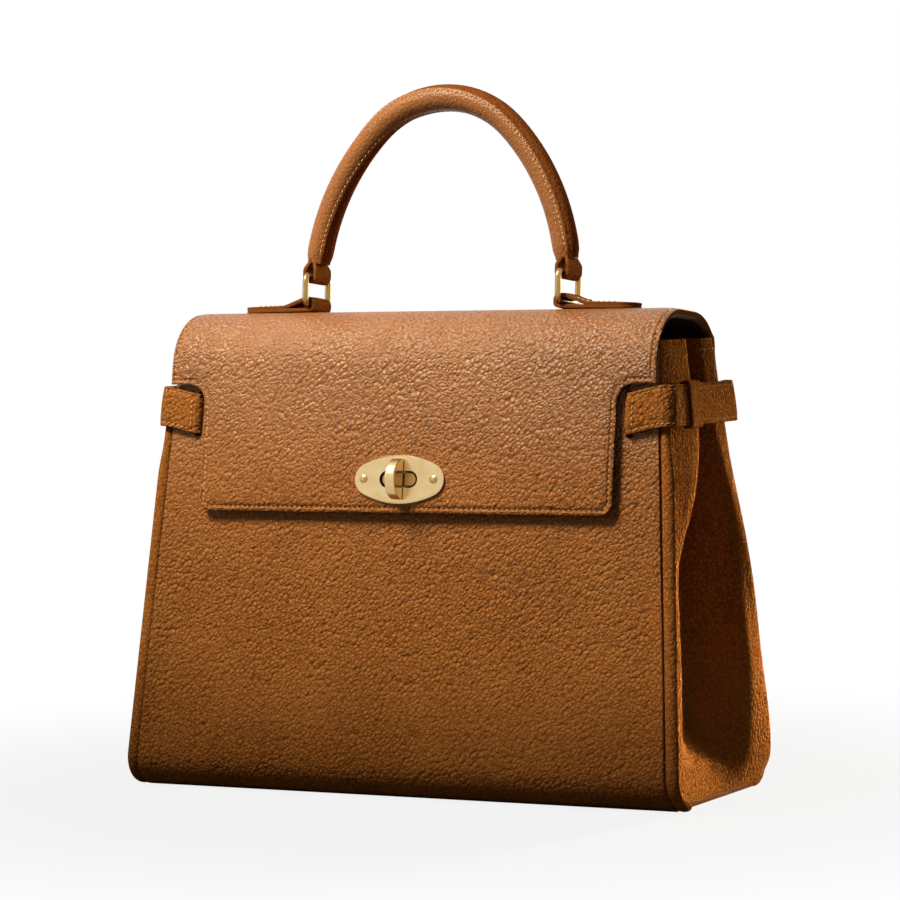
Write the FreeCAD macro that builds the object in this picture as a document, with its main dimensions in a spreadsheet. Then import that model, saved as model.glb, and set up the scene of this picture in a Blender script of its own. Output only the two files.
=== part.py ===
import FreeCAD, Part
import math
import os
import Sketcher
from types import SimpleNamespace

doc = FreeCAD.newDocument("TopHandleBag")
sheet = doc.addObject("Spreadsheet::Sheet", "Sizes")

# The frame: X runs across the front, Y from front to back, Z up, with the table at zero.
driving = {
    # outer leather of the body
    "panel_half_base": 150.0,
    "panel_half_mouth": 135.7,
    "base_half_depth": 68.0,
    "mouth_half_depth": 35.2,
    "mouth_height": 226.0,
    "panel_wall": 2.4,
    "base_bend_radius": 16.0,
    "seam_inset": 22.0,
    "sew_gap": 0.3,
    "glue_gap": 0.1,
    # lining and stiffener
    "lining_depth": 3.7,
    "lining_wall": 0.8,
    "lining_inset": 3.0,
    "board_wall": 2.0,
    "board_inset": 5.0,
    # gussets
    "gusset_wall": 1.8,
    "gusset_top": 224.0,
    "gusset_clear": 1.3,
    "pleat_depth": 34.0,
    "leaf_bulge": 5.0,
    # piping
    "piping_radius": 2.6,
    "piping_gap": 0.2,
    "piping_top": 199.0,
    # flap
    "flap_overhang": 1.8,
    "flap_notch_inset": 18.7,
    "flap_below_lock": 16.5,
    "flap_above_strap": 11.5,
    "flap_notch_radius": 9.0,
    "flap_corner_radius": 6.0,
    "flap_wall": 2.0,
    "flap_lining_wall": 1.1,
    "flap_gap": 2.2,
    "crown_height": 244.0,
    "crown_slope": 0.09,
    "crown_radius": 30.0,
    "flap_seam": 230.0,
    "flap_skirt": 24.0,
    # turn lock
    "lock_height": 160.5,
    "plate_half_long": 25.3,
    "plate_half_tall": 12.3,
    "plate_end_radius": 8.6,
    "plate_wall": 1.6,
    "plate_bevel": 0.6,
    "slot_half_long": 10.7,
    "slot_half_tall": 4.3,
    "slot_margin": 0.6,
    "washer_wall": 0.8,
    "washer_inset": 3.0,
    "screw_spread": 19.8,
    "screw_radius": 1.0,
    "screw_fit": 0.05,
    "screw_head_radius": 2.1,
    "screw_head_edge": 0.35,
    "screw_head_rise": 0.9,
    "lock_base_half_long": 17.0,
    "lock_base_half_tall": 8.5,
    "lock_base_wall": 1.0,
    "boss_half_long": 9.4,
    "boss_half_tall": 3.1,
    "boss_rise": 0.9,
    "shaft_radius": 2.0,
    "shaft_fit": 0.05,
    "panel_hole_radius": 2.6,
    "backing_radius": 9.0,
    "backing_wall": 0.8,
    "knob_half_long": 10.2,
    "knob_wall": 5.4,
    "knob_lift": 0.6,
    "knob_straight": 2.0,
    "knob_rise": 9.8,
    "knob_edge": 0.9,
    # side straps and keepers
    "strap_half_width": 10.25,
    "strap_wall": 2.6,
    "strap_height": 197.0,
    "strap_drop": 4.0,
    "strap_stand": 0.6,
    "strap_slot_inset": 13.7,
    "strap_tuck": 3.0,
    "strap_slot_fit": 0.5,
    "strap_bend_radius": 1.9,
    "strap_corner_radius": 5.0,
    "keeper_width": 14.0,
    "keeper_wall": 1.4,
    "keeper_fit": 0.3,
    "keeper_front": 15.0,
    # chapes, rings and handle, in the frame of the crown
    "handle_y": -3.0,
    "handle_half_span": 72.5,
    "handle_spring": 11.5,
    "handle_rise": 99.0,
    "handle_side_radius": 118.0,
    "handle_end": 26.0,
    "handle_radius": 6.9,
    "handle_wall": 1.7,
    "core_gap": 0.2,
    "core_end": 42.0,
    "bar_radius": 1.6,
    "ring_half_deep": 12.0,
    "ring_pitch": 15.0,
    "ring_corner_radius": 3.4,
    "loop_fit": 0.4,
    "chape_wall": 2.3,
    "chape_half_width": 9.3,
    "chape_tip": 112.0,
    "chape_tip_radius": 7.0,
    "chape_fold": 13.0,
    "chape_ply": 3.4,
    "tab_wall": 2.1,
    "tab_half_width": 8.0,
    "stem_wall": 4.2,
    "stem_half_width": 4.2,
    "stem_top": 39.0,
    # one overrun serves every cut
    "overrun": 20.0,
}
for row, (name, value) in enumerate(driving.items(), start=1):
    sheet.set(f"A{row}", name)
    sheet.set(f"B{row}", str(value))
    sheet.setAlias(f"B{row}", name)
doc.recompute()


# A number that keeps the sheet expression it came from, so that sketches and features can be bound to it.
class Size:
    def __init__(self, value, text):
        self.value = value
        self.text = text

    def __add__(self, other):
        other = sized(other)
        return Size(self.value + other.value, f"({self.text} + {other.text})")

    def __sub__(self, other):
        other = sized(other)
        return Size(self.value - other.value, f"({self.text} - {other.text})")

    def __mul__(self, other):
        other = sized(other)
        return Size(self.value * other.value, f"({self.text} * {other.text})")

    def __truediv__(self, other):
        other = sized(other)
        return Size(self.value / other.value, f"({self.text} / {other.text})")

    def __radd__(self, other):
        return sized(other) + self

    def __rsub__(self, other):
        return sized(other) - self

    def __rmul__(self, other):
        return sized(other) * self

    def __rtruediv__(self, other):
        return sized(other) / self

    def __neg__(self):
        return sized(0) - self


def sized(number):
    if isinstance(number, Size):
        return number
    return Size(float(number), str(number))


def root(number):
    return Size(math.sqrt(number.value), f"sqrt({number.text})")


s = SimpleNamespace(**{name: Size(float(sheet.get(name)), f"Sizes.{name}") for name in driving})
zero = sized(0)
sides = {"left": -1, "right": 1}
upward = FreeCAD.Vector(0, 0, 1)

# How the walls lean in towards the mouth, and how the ends taper.
lean = (s.base_half_depth - s.mouth_half_depth) / s.mouth_height
flare = (s.panel_half_base - s.panel_half_mouth) / s.mouth_height
lean_stretch = root(1 + lean * lean)
crown_stretch = root(1 + s.crown_slope * s.crown_slope)
flap_out = s.flap_gap + s.flap_lining_wall + s.glue_gap + s.flap_wall

# Sizes that follow the panels, the lock and the straps.
s.base_half_seam = s.base_half_depth - s.seam_inset
s.flap_half_upper = s.panel_half_mouth + s.flap_overhang
s.flap_half_lower = s.panel_half_mouth - s.flap_notch_inset
s.flap_bottom = s.lock_height - s.flap_below_lock
s.flap_notch = s.strap_height + s.flap_above_strap
s.strap_slot_half = s.panel_half_mouth - s.strap_slot_inset


def wall_y(height, out):
    return s.base_half_depth + out * lean_stretch - lean * height


def half_width(height):
    return s.panel_half_base - flare * height


def crown_z(y, under):
    return s.crown_height - s.crown_slope * (y - s.handle_y) - under * crown_stretch


def front_corner(out, under):
    reach = s.base_half_depth + out * lean_stretch
    y = (lean * crown_z(zero, under) - reach) / (1 + lean * s.crown_slope)
    return (y, crown_z(y, under))


def back_corner(out, under):
    reach = s.base_half_depth + out * lean_stretch
    y = (reach - lean * crown_z(zero, under)) / (1 - lean * s.crown_slope)
    return (y, crown_z(y, under))


def new_body(label):
    body = doc.addObject("PartDesign::Body", label)
    body.Label = label
    return body


def place(body, x, y, z, axis=None, angle=None):
    spin = FreeCAD.Rotation(axis or upward, angle.value if angle else 0)
    body.Placement = FreeCAD.Placement(FreeCAD.Vector(x.value, y.value, z.value), spin)
    body.setExpression("Placement.Base.x", x.text)
    body.setExpression("Placement.Base.y", y.text)
    body.setExpression("Placement.Base.z", z.text)
    if angle:
        body.setExpression("Placement.Rotation.Angle", angle.text)


def tilt(ratio):
    return Size(math.degrees(math.atan(ratio.value)), f"atan({ratio.text})")


def plane_of(body, role):
    return [feature for feature in body.Origin.OriginFeatures if feature.Role == role][0]


def sketch_on(body, name, role, lift=None):
    sketch = body.newObject("Sketcher::SketchObject", name)
    sketch.AttachmentSupport = [(plane_of(body, role), "")]
    sketch.MapMode = "FlatFace"
    if lift:
        sketch.setExpression("AttachmentOffset.Base.z", lift.text)
    return sketch


def hold(sketch, kind, where, size):
    index = sketch.addConstraint(Sketcher.Constraint(kind, *where, size.value))
    if "Sizes" in size.text:
        sketch.setExpression(f"Constraints[{index}]", size.text)


def pin(sketch, geometry, spot, corner):
    hold(sketch, "DistanceX", (-1, 1, geometry, spot), corner[0])
    hold(sketch, "DistanceY", (-1, 1, geometry, spot), corner[1])


def flat(corner):
    return FreeCAD.Vector(corner[0].value, corner[1].value, 0)


# Draws a chain of lines and arcs. bends gives, for the span after a corner, its radius and its turn,
# where a turn of one goes to the left.
def outline(sketch, corners, bends=None, closed=True):
    bends = bends or {}
    spans = len(corners) if closed else len(corners) - 1
    ends = []
    for index in range(spans):
        start = flat(corners[index])
        stop = flat(corners[(index + 1) % len(corners)])
        if index not in bends:
            ends.append((sketch.addGeometry(Part.LineSegment(start, stop)), 1, 2))
            continue
        radius, turn = bends[index]
        chord = stop - start
        rise = math.sqrt(max(radius.value ** 2 - (chord.Length / 2) ** 2, 0))
        side = FreeCAD.Vector(-chord.y, chord.x, 0).normalize()
        middle = (start + stop) / 2 + side * (turn * rise)
        first, last = (start, stop) if turn > 0 else (stop, start)
        begin = math.atan2(first.y - middle.y, first.x - middle.x)
        finish = math.atan2(last.y - middle.y, last.x - middle.x)
        if finish < begin:
            finish += 2 * math.pi
        arc = Part.ArcOfCircle(Part.Circle(middle, upward, radius.value), begin, finish)
        geometry = sketch.addGeometry(arc)
        ends.append((geometry, 1, 2) if turn > 0 else (geometry, 2, 1))
    for index in range(spans if closed else spans - 1):
        leader = ends[index]
        follower = ends[(index + 1) % spans]
        joined = Sketcher.Constraint("Coincident", leader[0], leader[2], follower[0], follower[1])
        sketch.addConstraint(joined)
    for index in range(spans):
        pin(sketch, ends[index][0], ends[index][1], corners[index])
        if index in bends:
            hold(sketch, "Radius", (ends[index][0],), bends[index][0])
    if not closed:
        pin(sketch, ends[-1][0], ends[-1][2], corners[-1])


def circle(sketch, x, y, radius):
    geometry = sketch.addGeometry(Part.Circle(flat((x, y)), upward, radius.value))
    pin(sketch, geometry, 3, (x, y))
    hold(sketch, "Radius", (geometry,), radius)


def box_corners(x0, y0, x1, y1):
    return [(x0, y0), (x1, y0), (x1, y1), (x0, y1)]


def pad(body, name, sketch, length, symmetric=True, reverse=False):
    feature = body.newObject("PartDesign::Pad", name)
    feature.Profile = sketch
    feature.SideType = "Symmetric" if symmetric else "One side"
    feature.Reversed = reverse
    feature.setExpression("Length", length.text)
    doc.recompute()
    return feature


def cut(body, name, sketch):
    feature = body.newObject("PartDesign::Pocket", name)
    feature.Profile = sketch
    feature.SideType = "Symmetric"
    feature.Type = "ThroughAll"
    doc.recompute()
    return feature


# Rounds the edges that lie on the given spots; a spot leaves the coordinate along its edge as None.
def round_edges(body, name, feature, spots, radius):
    chosen = []
    near = s.glue_gap.value / len(feature.Shape.Edges)
    for index, edge in enumerate(feature.Shape.Edges, start=1):
        points = [vertex.Point for vertex in edge.Vertexes]
        for spot in spots:
            wanted = [(axis, size.value) for axis, size in enumerate(spot) if size is not None]
            if all(abs(point[axis] - value) < near for point in points for axis, value in wanted):
                chosen.append(f"Edge{index}")
    fillet = body.newObject("PartDesign::Fillet", name)
    fillet.Base = (feature, chosen)
    fillet.setExpression("Radius", radius.text)
    doc.recompute()
    return fillet


def sweep(body, name, profile, path):
    feature = body.newObject("PartDesign::AdditivePipe", name)
    feature.Profile = profile
    feature.Spine = path
    doc.recompute()
    return feature


def mirror(body, name, feature, role):
    twin = body.newObject("PartDesign::Mirrored", name)
    twin.Originals = [feature]
    twin.MirrorPlane = (plane_of(body, role), [""])
    body.Tip = twin
    doc.recompute()
    return twin


def stadium(sketch, half_long, half_tall):
    reach = half_long - half_tall
    corners = [(-reach, -half_tall), (reach, -half_tall), (half_long, zero), (reach, half_tall),
               (-reach, half_tall), (-half_long, zero)]
    outline(sketch, corners, {index: (half_tall, 1) for index in (1, 2, 4, 5)})


def trim_ends(body, top, inset):
    low = -s.overrun
    high = top + s.overrun
    sketch = sketch_on(body, "EndTaper", "XZ_Plane")
    far = s.panel_half_base + s.overrun
    for side in sides.values():
        outline(sketch, [(side * (half_width(low) - inset), low), (side * far, low),
                         (side * far, high), (side * (half_width(high) - inset), high)])
    return cut(body, "EndTrim", sketch)


# A wall that runs up from the base seam, round the lower bend and along the leaning face.
def bent_wall(body, side, depth, wall, top):
    inner = depth + wall
    turn = s.base_bend_radius
    corners = [(side * s.base_half_seam, depth), (side * wall_y(depth, -depth), depth),
               (side * wall_y(top, -depth), top), (side * wall_y(top, -inner), top),
               (side * wall_y(inner, -inner), inner), (side * s.base_half_seam, inner)]
    sketch = sketch_on(body, "WallProfile", "YZ_Plane")
    outline(sketch, corners)
    feature = pad(body, "Wall", sketch, 2 * s.panel_half_base)
    feature = round_edges(body, "OuterBend", feature, [(None, *corners[1])], turn - depth)
    round_edges(body, "InnerBend", feature, [(None, *corners[4])], turn - inner)


def strap_slots(body):
    sketch = sketch_on(body, "StrapSlots", "XZ_Plane")
    middle = s.strap_height - s.strap_drop
    half_thick = s.strap_wall / 2 + s.strap_slot_fit
    half_tall = s.strap_half_width + 2 * s.strap_slot_fit
    for side in sides.values():
        centre = side * s.strap_slot_half
        outline(sketch, box_corners(centre - half_thick, middle - half_tall,
                                    centre + half_thick, middle + half_tall))
    return cut(body, "StrapSlotCut", sketch)


made = []

# Front panel: one leather that wraps under the bag.
front = new_body("front_panel")
bent_wall(front, -1, zero, s.panel_wall, s.mouth_height)
trim_ends(front, s.mouth_height, zero)
strap_slots(front)
made.append(front)

# Back panel: the same wall, carried on round the crown as far as the fold of the flap.
back = new_body("back_panel")
corner_out = back_corner(zero, zero)
corner_in = back_corner(-s.panel_wall, s.panel_wall)
foot = (wall_y(zero, zero), zero)
foot_in = (wall_y(s.panel_wall, -s.panel_wall), s.panel_wall)
profile = sketch_on(back, "WallProfile", "YZ_Plane")
outline(profile, [(s.base_half_seam, zero), foot, corner_out, (zero, crown_z(zero, zero)),
                  (zero, crown_z(zero, s.panel_wall)), corner_in, foot_in,
                  (s.base_half_seam, s.panel_wall)])
feature = pad(back, "Wall", profile, 2 * s.panel_half_base)
feature = round_edges(back, "OuterBend", feature, [(None, *foot)], s.base_bend_radius)
feature = round_edges(back, "InnerBend", feature, [(None, *foot_in)], s.base_bend_radius - s.panel_wall)
feature = round_edges(back, "OuterCrown", feature, [(None, *corner_out)], s.crown_radius)
round_edges(back, "InnerCrown", feature, [(None, *corner_in)], s.crown_radius - s.panel_wall)
above = sketch_on(back, "AboveFold", "YZ_Plane")
outline(above, box_corners(-s.overrun, s.flap_seam - s.sew_gap / 2,
                           s.base_half_depth, s.crown_height + s.overrun))
cut(back, "FoldCut", above)
trim_ends(back, s.crown_height, zero)
strap_slots(back)
made.append(back)

# Base: the leather between the two wraps, and the board that keeps it flat.
base = new_body("base_panel")
profile = sketch_on(base, "Outline", "XY_Plane")
base_half = s.panel_half_base - s.sew_gap
base_deep = s.base_half_seam - s.sew_gap
outline(profile, box_corners(-base_half, -base_deep, base_half, base_deep))
pad(base, "Leather", profile, s.panel_wall, symmetric=False)
made.append(base)

board_half = s.panel_half_base - s.board_inset
board_low = s.panel_wall + s.glue_gap
board = doc.addObject("Part::Box", "base_board")
board.Label = "base_board"
board.setExpression("Length", (2 * board_half).text)
board.setExpression("Width", (2 * base_deep).text)
board.setExpression("Height", s.board_wall.text)
place(board, -board_half, -base_deep, board_low)
made.append(board)

cover = doc.addObject("Part::Box", "lining_base")
cover.Label = "lining_base"
cover.setExpression("Length", (2 * board_half).text)
cover.setExpression("Width", (2 * base_deep).text)
cover.setExpression("Height", s.lining_wall.text)
place(cover, -board_half, -base_deep, board_low + s.board_wall + s.glue_gap)
made.append(cover)

for label, side in (("lining_front", -1), ("lining_back", 1)):
    lining = new_body(label)
    lining_top = s.mouth_height - s.lining_inset
    bent_wall(lining, side, s.lining_depth, s.lining_wall, lining_top)
    trim_ends(lining, lining_top, s.lining_inset)
    made.append(lining)


# Gussets: each folds in between its front and back leaf. Every row gives, as shares, the height, the
# width and bulge of the front leaf, the width and bulge of the back leaf, the width of the valley
# between them and the depth of the pleat.
gusset_shares = [
    (0.00, 0.40, 0.00, 0.50, 0.3, 0.30, 0.00),
    (0.03, 0.40, 0.00, 0.52, 0.8, 0.30, 0.00),
    (0.07, 0.40, 0.00, 0.56, 1.2, 0.35, 0.03),
    (0.12, 0.36, 0.00, 0.60, 1.4, 0.45, 0.22),
    (0.21, 0.38, 0.00, 0.58, 1.4, 0.50, 0.42),
    (0.40, 0.40, 0.05, 0.44, 1.3, 0.45, 0.62),
    (0.52, 0.42, 0.30, 0.40, 1.2, 0.35, 0.75),
    (0.66, 0.80, 0.90, 0.42, 1.0, 0.25, 0.88),
    (0.80, 1.10, 0.78, 0.56, 0.8, 0.20, 1.00),
    (0.92, 0.98, 0.74, 0.62, 0.6, 0.20, 1.00),
    (1.00, 0.95, 0.65, 0.66, 0.5, 0.20, 1.00),
]
puff_share = 0.3


def inner_depth(height):
    turn = s.base_bend_radius.value
    middle = s.base_half_depth.value - turn * (lean.value + lean_stretch.value)
    bend = turn - s.panel_wall.value
    drop = turn - height
    if drop > bend * lean.value:
        return middle + math.sqrt(max(bend ** 2 - drop ** 2, 0))
    return wall_y(sized(height), -s.panel_wall).value


def thick_section(points, wall):
    backs = []
    for index, point in enumerate(points):
        before = points[max(index - 1, 0)]
        after = points[min(index + 1, len(points) - 1)]
        legs = [leg for leg in (point - before, after - point) if leg.Length > 0]
        normals = [FreeCAD.Vector(-leg.y, leg.x, 0).normalize() for leg in legs]
        total = sum(normals[1:], normals[0])
        backs.append(point + total * (wall * len(normals) / total.dot(total)))
    return backs


def ruled_solid(label, sections):
    piece = doc.addObject("Part::Feature", label)
    piece.Label = label
    wires = [Part.makePolygon(section + section[:1]) for section in sections]
    solid = Part.makeLoft(wires, True, True)
    piece.Shape = solid if solid.Volume > 0 else solid.reversed()
    made.append(piece)
    return piece


for name, side in sides.items():
    sections = []
    low = s.panel_wall.value + s.sew_gap.value
    for row in gusset_shares:
        height_share, leaf_share, bulge_share, back_share, puffed_share, valley_share, pleat_share = row
        height = low + height_share * (s.gusset_top.value - low)
        face = half_width(sized(height)).value - s.sew_gap.value
        deep = inner_depth(height) - s.gusset_clear.value
        ridge_x = face + bulge_share * s.leaf_bulge.value
        back_x = face + puffed_share * s.leaf_bulge.value
        valley_x = face - pleat_share * s.pleat_depth.value
        ridge_y = -deep * (1 - leaf_share)
        back_y = deep * (1 - back_share)
        middle = (ridge_y + back_y) / 2
        reach = (back_y - ridge_y) * valley_share / 2
        points = [FreeCAD.Vector(x, y, 0) for x, y in (
            (face, -deep), (ridge_x, ridge_y), (valley_x, middle - reach), (valley_x, middle + reach),
            (back_x, back_y), (back_x, deep * (1 - back_share * puff_share)), (face, deep))]
        ring = points + thick_section(points, s.gusset_wall.value)[::-1]
        sections.append([FreeCAD.Vector(side * point.x, point.y, height) for point in ring])
    ruled_solid(f"gusset_{name}", sections)

# Piping: a round cord along each side of the front panel, from under its foot up to the strap.
for name, side in sides.items():
    piping = new_body(f"piping_{name}")
    grow = root(1 + flare * flare)
    low = s.piping_radius + s.piping_gap
    high = s.piping_top * grow
    bend = s.base_bend_radius - s.piping_radius
    bend_y = wall_y(low + bend, -s.piping_radius) - bend * lean_stretch
    bend_top = low + bend + bend * lean / lean_stretch
    profile = sketch_on(piping, "Section", "XZ_Plane", bend_y)
    circle(profile, zero, low, s.piping_radius)
    path = sketch_on(piping, "Path", "YZ_Plane")
    outline(path, [(-bend_y, low), (-bend_y - bend / lean_stretch, bend_top),
                   (-wall_y(high, -s.piping_radius), high)], {0: (bend, -1)}, closed=False)
    sweep(piping, "Cord", profile, path)
    place(piping, side * (s.panel_half_base + s.piping_radius + s.piping_gap), zero, zero,
          FreeCAD.Vector(0, -side, 0), tilt(flare))
    made.append(piping)

# Side straps: each goes in through a slot at the front, round the end of the bag and in again at the back.
corner_steps = 4


def strap_station(along, out, height, turn, taper):
    up = FreeCAD.Vector(-flare.value * taper, lean.value, 1).normalize()
    plan = FreeCAD.Vector(math.sin(turn), -math.cos(turn), 0)
    normal = (plan - up * plan.dot(up)).normalize()
    centre = FreeCAD.Vector(along, out, height)
    half = s.strap_half_width.value
    thick = s.strap_wall.value / 2
    signs = ((-1, -1), (1, -1), (1, 1), (-1, 1))
    return [centre + normal * (a * thick) + up * (b * half) for a, b in signs]


def strap_stations():
    level = s.strap_height.value
    stand = s.strap_stand.value + s.strap_wall.value / 2
    slot = s.strap_slot_half.value
    end_x = half_width(s.strap_height).value + 2 * s.piping_radius.value + s.piping_gap.value + stand
    small = s.strap_bend_radius.value
    large = s.strap_corner_radius.value
    quarter = math.pi / 2
    stations = []

    def face_y(height, out):
        return -wall_y(sized(height), sized(out)).value

    def level_at(along):
        fall = (end_x - large - along) / (end_x - large - slot)
        return level - s.strap_drop.value * max(fall, 0)

    low = level_at(slot)
    stations.append(strap_station(slot, face_y(low, -s.strap_tuck.value), low, -quarter, 0))
    for step in range(corner_steps):
        angle = quarter * step / (corner_steps - 1)
        along = slot + small * (1 - math.cos(angle))
        rise = stand - small * (1 - math.sin(angle))
        stations.append(strap_station(along, face_y(low, rise), low, angle - quarter, 0))
    for step in range(corner_steps):
        angle = quarter * step / (corner_steps - 1)
        along = end_x - large * (1 - math.sin(angle))
        out = face_y(level, stand) + large * (1 - math.cos(angle))
        stations.append(strap_station(along, out, level, angle, 1))
    return stations


for name, side in sides.items():
    half = [[FreeCAD.Vector(side * p.x, p.y, p.z) for p in station] for station in strap_stations()]
    back_half = [[FreeCAD.Vector(p.x, -p.y, p.z) for p in station] for station in reversed(half)]
    ruled_solid(f"side_strap_{name}", half + back_half)

# Keepers: a leather loop on the front leaf of each gusset holds the strap.
for name, side in sides.items():
    keeper = new_body(f"strap_keeper_{name}")
    half_thick = s.strap_wall / 2 + s.keeper_fit
    half_tall = s.strap_half_width + s.keeper_fit
    profile = sketch_on(keeper, "Loop", "XZ_Plane")
    outer = s.keeper_wall
    outline(profile, box_corners(-half_thick - outer, -half_tall - outer,
                                 half_thick + outer, half_tall + outer))
    outline(profile, box_corners(-half_thick, -half_tall, half_thick, half_tall))
    pad(keeper, "Leather", profile, s.keeper_width)
    strap_x = half_width(s.strap_height) + 2 * s.piping_radius + s.piping_gap
    strap_x = strap_x + s.strap_stand + s.strap_wall / 2
    place(keeper, side * strap_x, -s.keeper_front, s.strap_height, FreeCAD.Vector(0, -side, 0), tilt(flare))
    made.append(keeper)


# Flap: leather and lining share the arch over the mouth, the notches beside the straps and the lock slot.
def flap_layer(label, deep, wall):
    body = new_body(label)
    out = flap_out - deep
    inner = deep + wall
    start = s.flap_seam - s.flap_skirt
    low = s.flap_bottom
    outer_front = front_corner(out, deep)
    outer_back = back_corner(-deep, deep)
    inner_front = front_corner(out - wall, inner)
    inner_back = back_corner(-inner, inner)
    profile = sketch_on(body, "ArchProfile", "YZ_Plane")
    outline(profile, [(wall_y(start, -deep), start), outer_back, outer_front, (-wall_y(low, out), low),
                      (-wall_y(low, out - wall), low), inner_front, inner_back,
                      (wall_y(start, -inner), start)])
    feature = pad(body, "Arch", profile, 2 * s.flap_half_upper)
    feature = round_edges(body, "OuterCrown", feature, [(None, *outer_front), (None, *outer_back)],
                          s.crown_radius - deep)
    round_edges(body, "InnerCrown", feature, [(None, *inner_front), (None, *inner_back)],
                s.crown_radius - inner)
    below = sketch_on(body, "BelowFold", "YZ_Plane")
    outline(below, box_corners(zero, start - s.overrun, s.base_half_depth, s.flap_seam + s.sew_gap / 2))
    cut(body, "FoldCut", below)
    notch = sketch_on(body, "Notches", "XZ_Plane")
    far = s.flap_half_upper + s.overrun
    bend = s.flap_notch_radius
    near = s.flap_half_lower
    tip = s.flap_corner_radius
    for side in sides.values():
        outline(notch, [(side * (near - tip), low), (side * near, low + tip),
                        (side * near, s.flap_notch - bend), (side * (near + bend), s.flap_notch),
                        (side * far, s.flap_notch), (side * far, low - s.overrun),
                        (side * (near - tip), low - s.overrun)],
                {0: (tip, side), 2: (bend, -side)})
    cut(body, "NotchCut", notch)
    slot = sketch_on(body, "LockSlot", "XZ_Plane")
    long = s.slot_half_long + s.slot_margin
    tall = s.slot_half_tall + s.slot_margin
    outline(slot, box_corners(-long, s.lock_height - tall, long, s.lock_height + tall))
    for side in sides.values():
        circle(slot, side * s.screw_spread, s.lock_height, s.screw_radius + s.slot_margin)
    cut(body, "LockSlotCut", slot)
    made.append(body)


flap_layer("flap", zero, s.flap_wall)
flap_layer("flap_lining", s.flap_wall + s.glue_gap, s.flap_lining_wall)


# Turn lock: its own frame sits on the face of the flap, with Z outward.
def place_lock(piece):
    upright = 1 / lean
    face_y = -wall_y(s.lock_height, flap_out)
    place(piece, zero, face_y, s.lock_height, FreeCAD.Vector(1, 0, 0), tilt(upright))


def oval(sketch, half_long, half_tall, end_radius):
    reach = half_long - end_radius
    spare = reach * reach + half_tall * half_tall - end_radius * end_radius
    side_radius = spare / (2 * (half_tall - end_radius))
    span = side_radius - end_radius
    x = reach + end_radius * reach / span
    y = end_radius * (side_radius - half_tall) / span
    outline(sketch, [(-x, -y), (x, -y), (x, y), (-x, y)],
            {0: (side_radius, 1), 1: (end_radius, 1), 2: (side_radius, 1), 3: (end_radius, 1)})


def lock_leaf(label, half_long, half_tall, end_radius, low, wall):
    body = new_body(label)
    profile = sketch_on(body, "Outline", "XY_Plane", low)
    oval(profile, half_long, half_tall, end_radius)
    pad(body, "Leaf", profile, wall, symmetric=False)
    slot = sketch_on(body, "Slot", "XY_Plane", low)
    stadium(slot, s.slot_half_long, s.slot_half_tall)
    for side in sides.values():
        circle(slot, side * s.screw_spread, zero, s.screw_radius + s.screw_fit)
    feature = cut(body, "SlotCut", slot)
    place_lock(body)
    made.append(body)
    return body, feature


flap_under = s.flap_wall + s.glue_gap + s.flap_lining_wall
washer_low = -flap_under - s.washer_wall
plate, feature = lock_leaf("lock_plate", s.plate_half_long, s.plate_half_tall, s.plate_end_radius,
                           zero, s.plate_wall)
bevel = plate.newObject("PartDesign::Chamfer", "Bevel")
slot_reach = s.slot_half_tall.value + s.slot_margin.value
rim = [f"Edge{index}" for index, edge in enumerate(feature.Shape.Edges, start=1)
       if all(abs(vertex.Point.z - s.plate_wall.value) < s.glue_gap.value for vertex in edge.Vertexes)
       and max(abs(vertex.Point.y) for vertex in edge.Vertexes) > slot_reach]
bevel.Base = (feature, rim)
bevel.setExpression("Size", s.plate_bevel.text)
lock_leaf("lock_plate_washer", s.plate_half_long - s.washer_inset, s.plate_half_tall - s.washer_inset,
          s.plate_end_radius - s.washer_inset, washer_low, s.washer_wall)

screws = []
for name, side in sides.items():
    screw = new_body(f"screw_{name}")
    profile = sketch_on(screw, "Profile", "XZ_Plane")
    head = s.plate_wall + s.screw_head_edge
    top = s.plate_wall + s.screw_head_rise
    dome = s.screw_head_rise - s.screw_head_edge
    dome_radius = (s.screw_head_radius * s.screw_head_radius + dome * dome) / (2 * dome)
    outline(profile, [(zero, washer_low), (s.screw_radius, washer_low), (s.screw_radius, s.plate_wall),
                      (s.screw_head_radius, s.plate_wall), (s.screw_head_radius, head), (zero, top)],
            {4: (dome_radius, 1)})
    turned = screw.newObject("PartDesign::Revolution", "Turned")
    turned.Profile = profile
    turned.ReferenceAxis = (profile, ["V_Axis"])
    place_lock(screw)
    screw.setExpression("Placement.Base.x", (side * s.screw_spread).text)
    screws.append(screw)
pair = doc.addObject("Part::Compound", "lock_plate_screws")
pair.Label = "lock_plate_screws"
pair.Links = screws
made.append(pair)

# Lock base on the front panel: a foot, and a boss that fills the slot of the flap.
panel_face = -flap_out
base_low = panel_face
holder = new_body("lock_base")
profile = sketch_on(holder, "Foot", "XY_Plane", base_low)
stadium(profile, s.lock_base_half_long, s.lock_base_half_tall)
pad(holder, "FootPad", profile, s.lock_base_wall, symmetric=False)
profile = sketch_on(holder, "Boss", "XY_Plane", base_low)
stadium(profile, s.boss_half_long, s.boss_half_tall)
pad(holder, "BossPad", profile, s.boss_rise - base_low, symmetric=False)
profile = sketch_on(holder, "Bore", "XY_Plane")
circle(profile, zero, zero, s.shaft_radius + s.shaft_fit)
cut(holder, "BoreCut", profile)
place_lock(holder)
made.append(holder)

hole = sketch_on(front, "LockHole", "XZ_Plane")
circle(hole, zero, s.lock_height - flap_out * lean / lean_stretch, s.panel_hole_radius + s.slot_margin)
cut(front, "LockHoleCut", hole)

backing = new_body("lock_backing")
backing_low = panel_face - s.panel_wall - s.glue_gap - s.backing_wall
profile = sketch_on(backing, "Disc", "XY_Plane", backing_low)
circle(profile, zero, zero, s.backing_radius)
circle(profile, zero, zero, s.shaft_radius + s.shaft_fit)
pad(backing, "DiscPad", profile, s.backing_wall, symmetric=False)
place_lock(backing)
made.append(backing)

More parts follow.
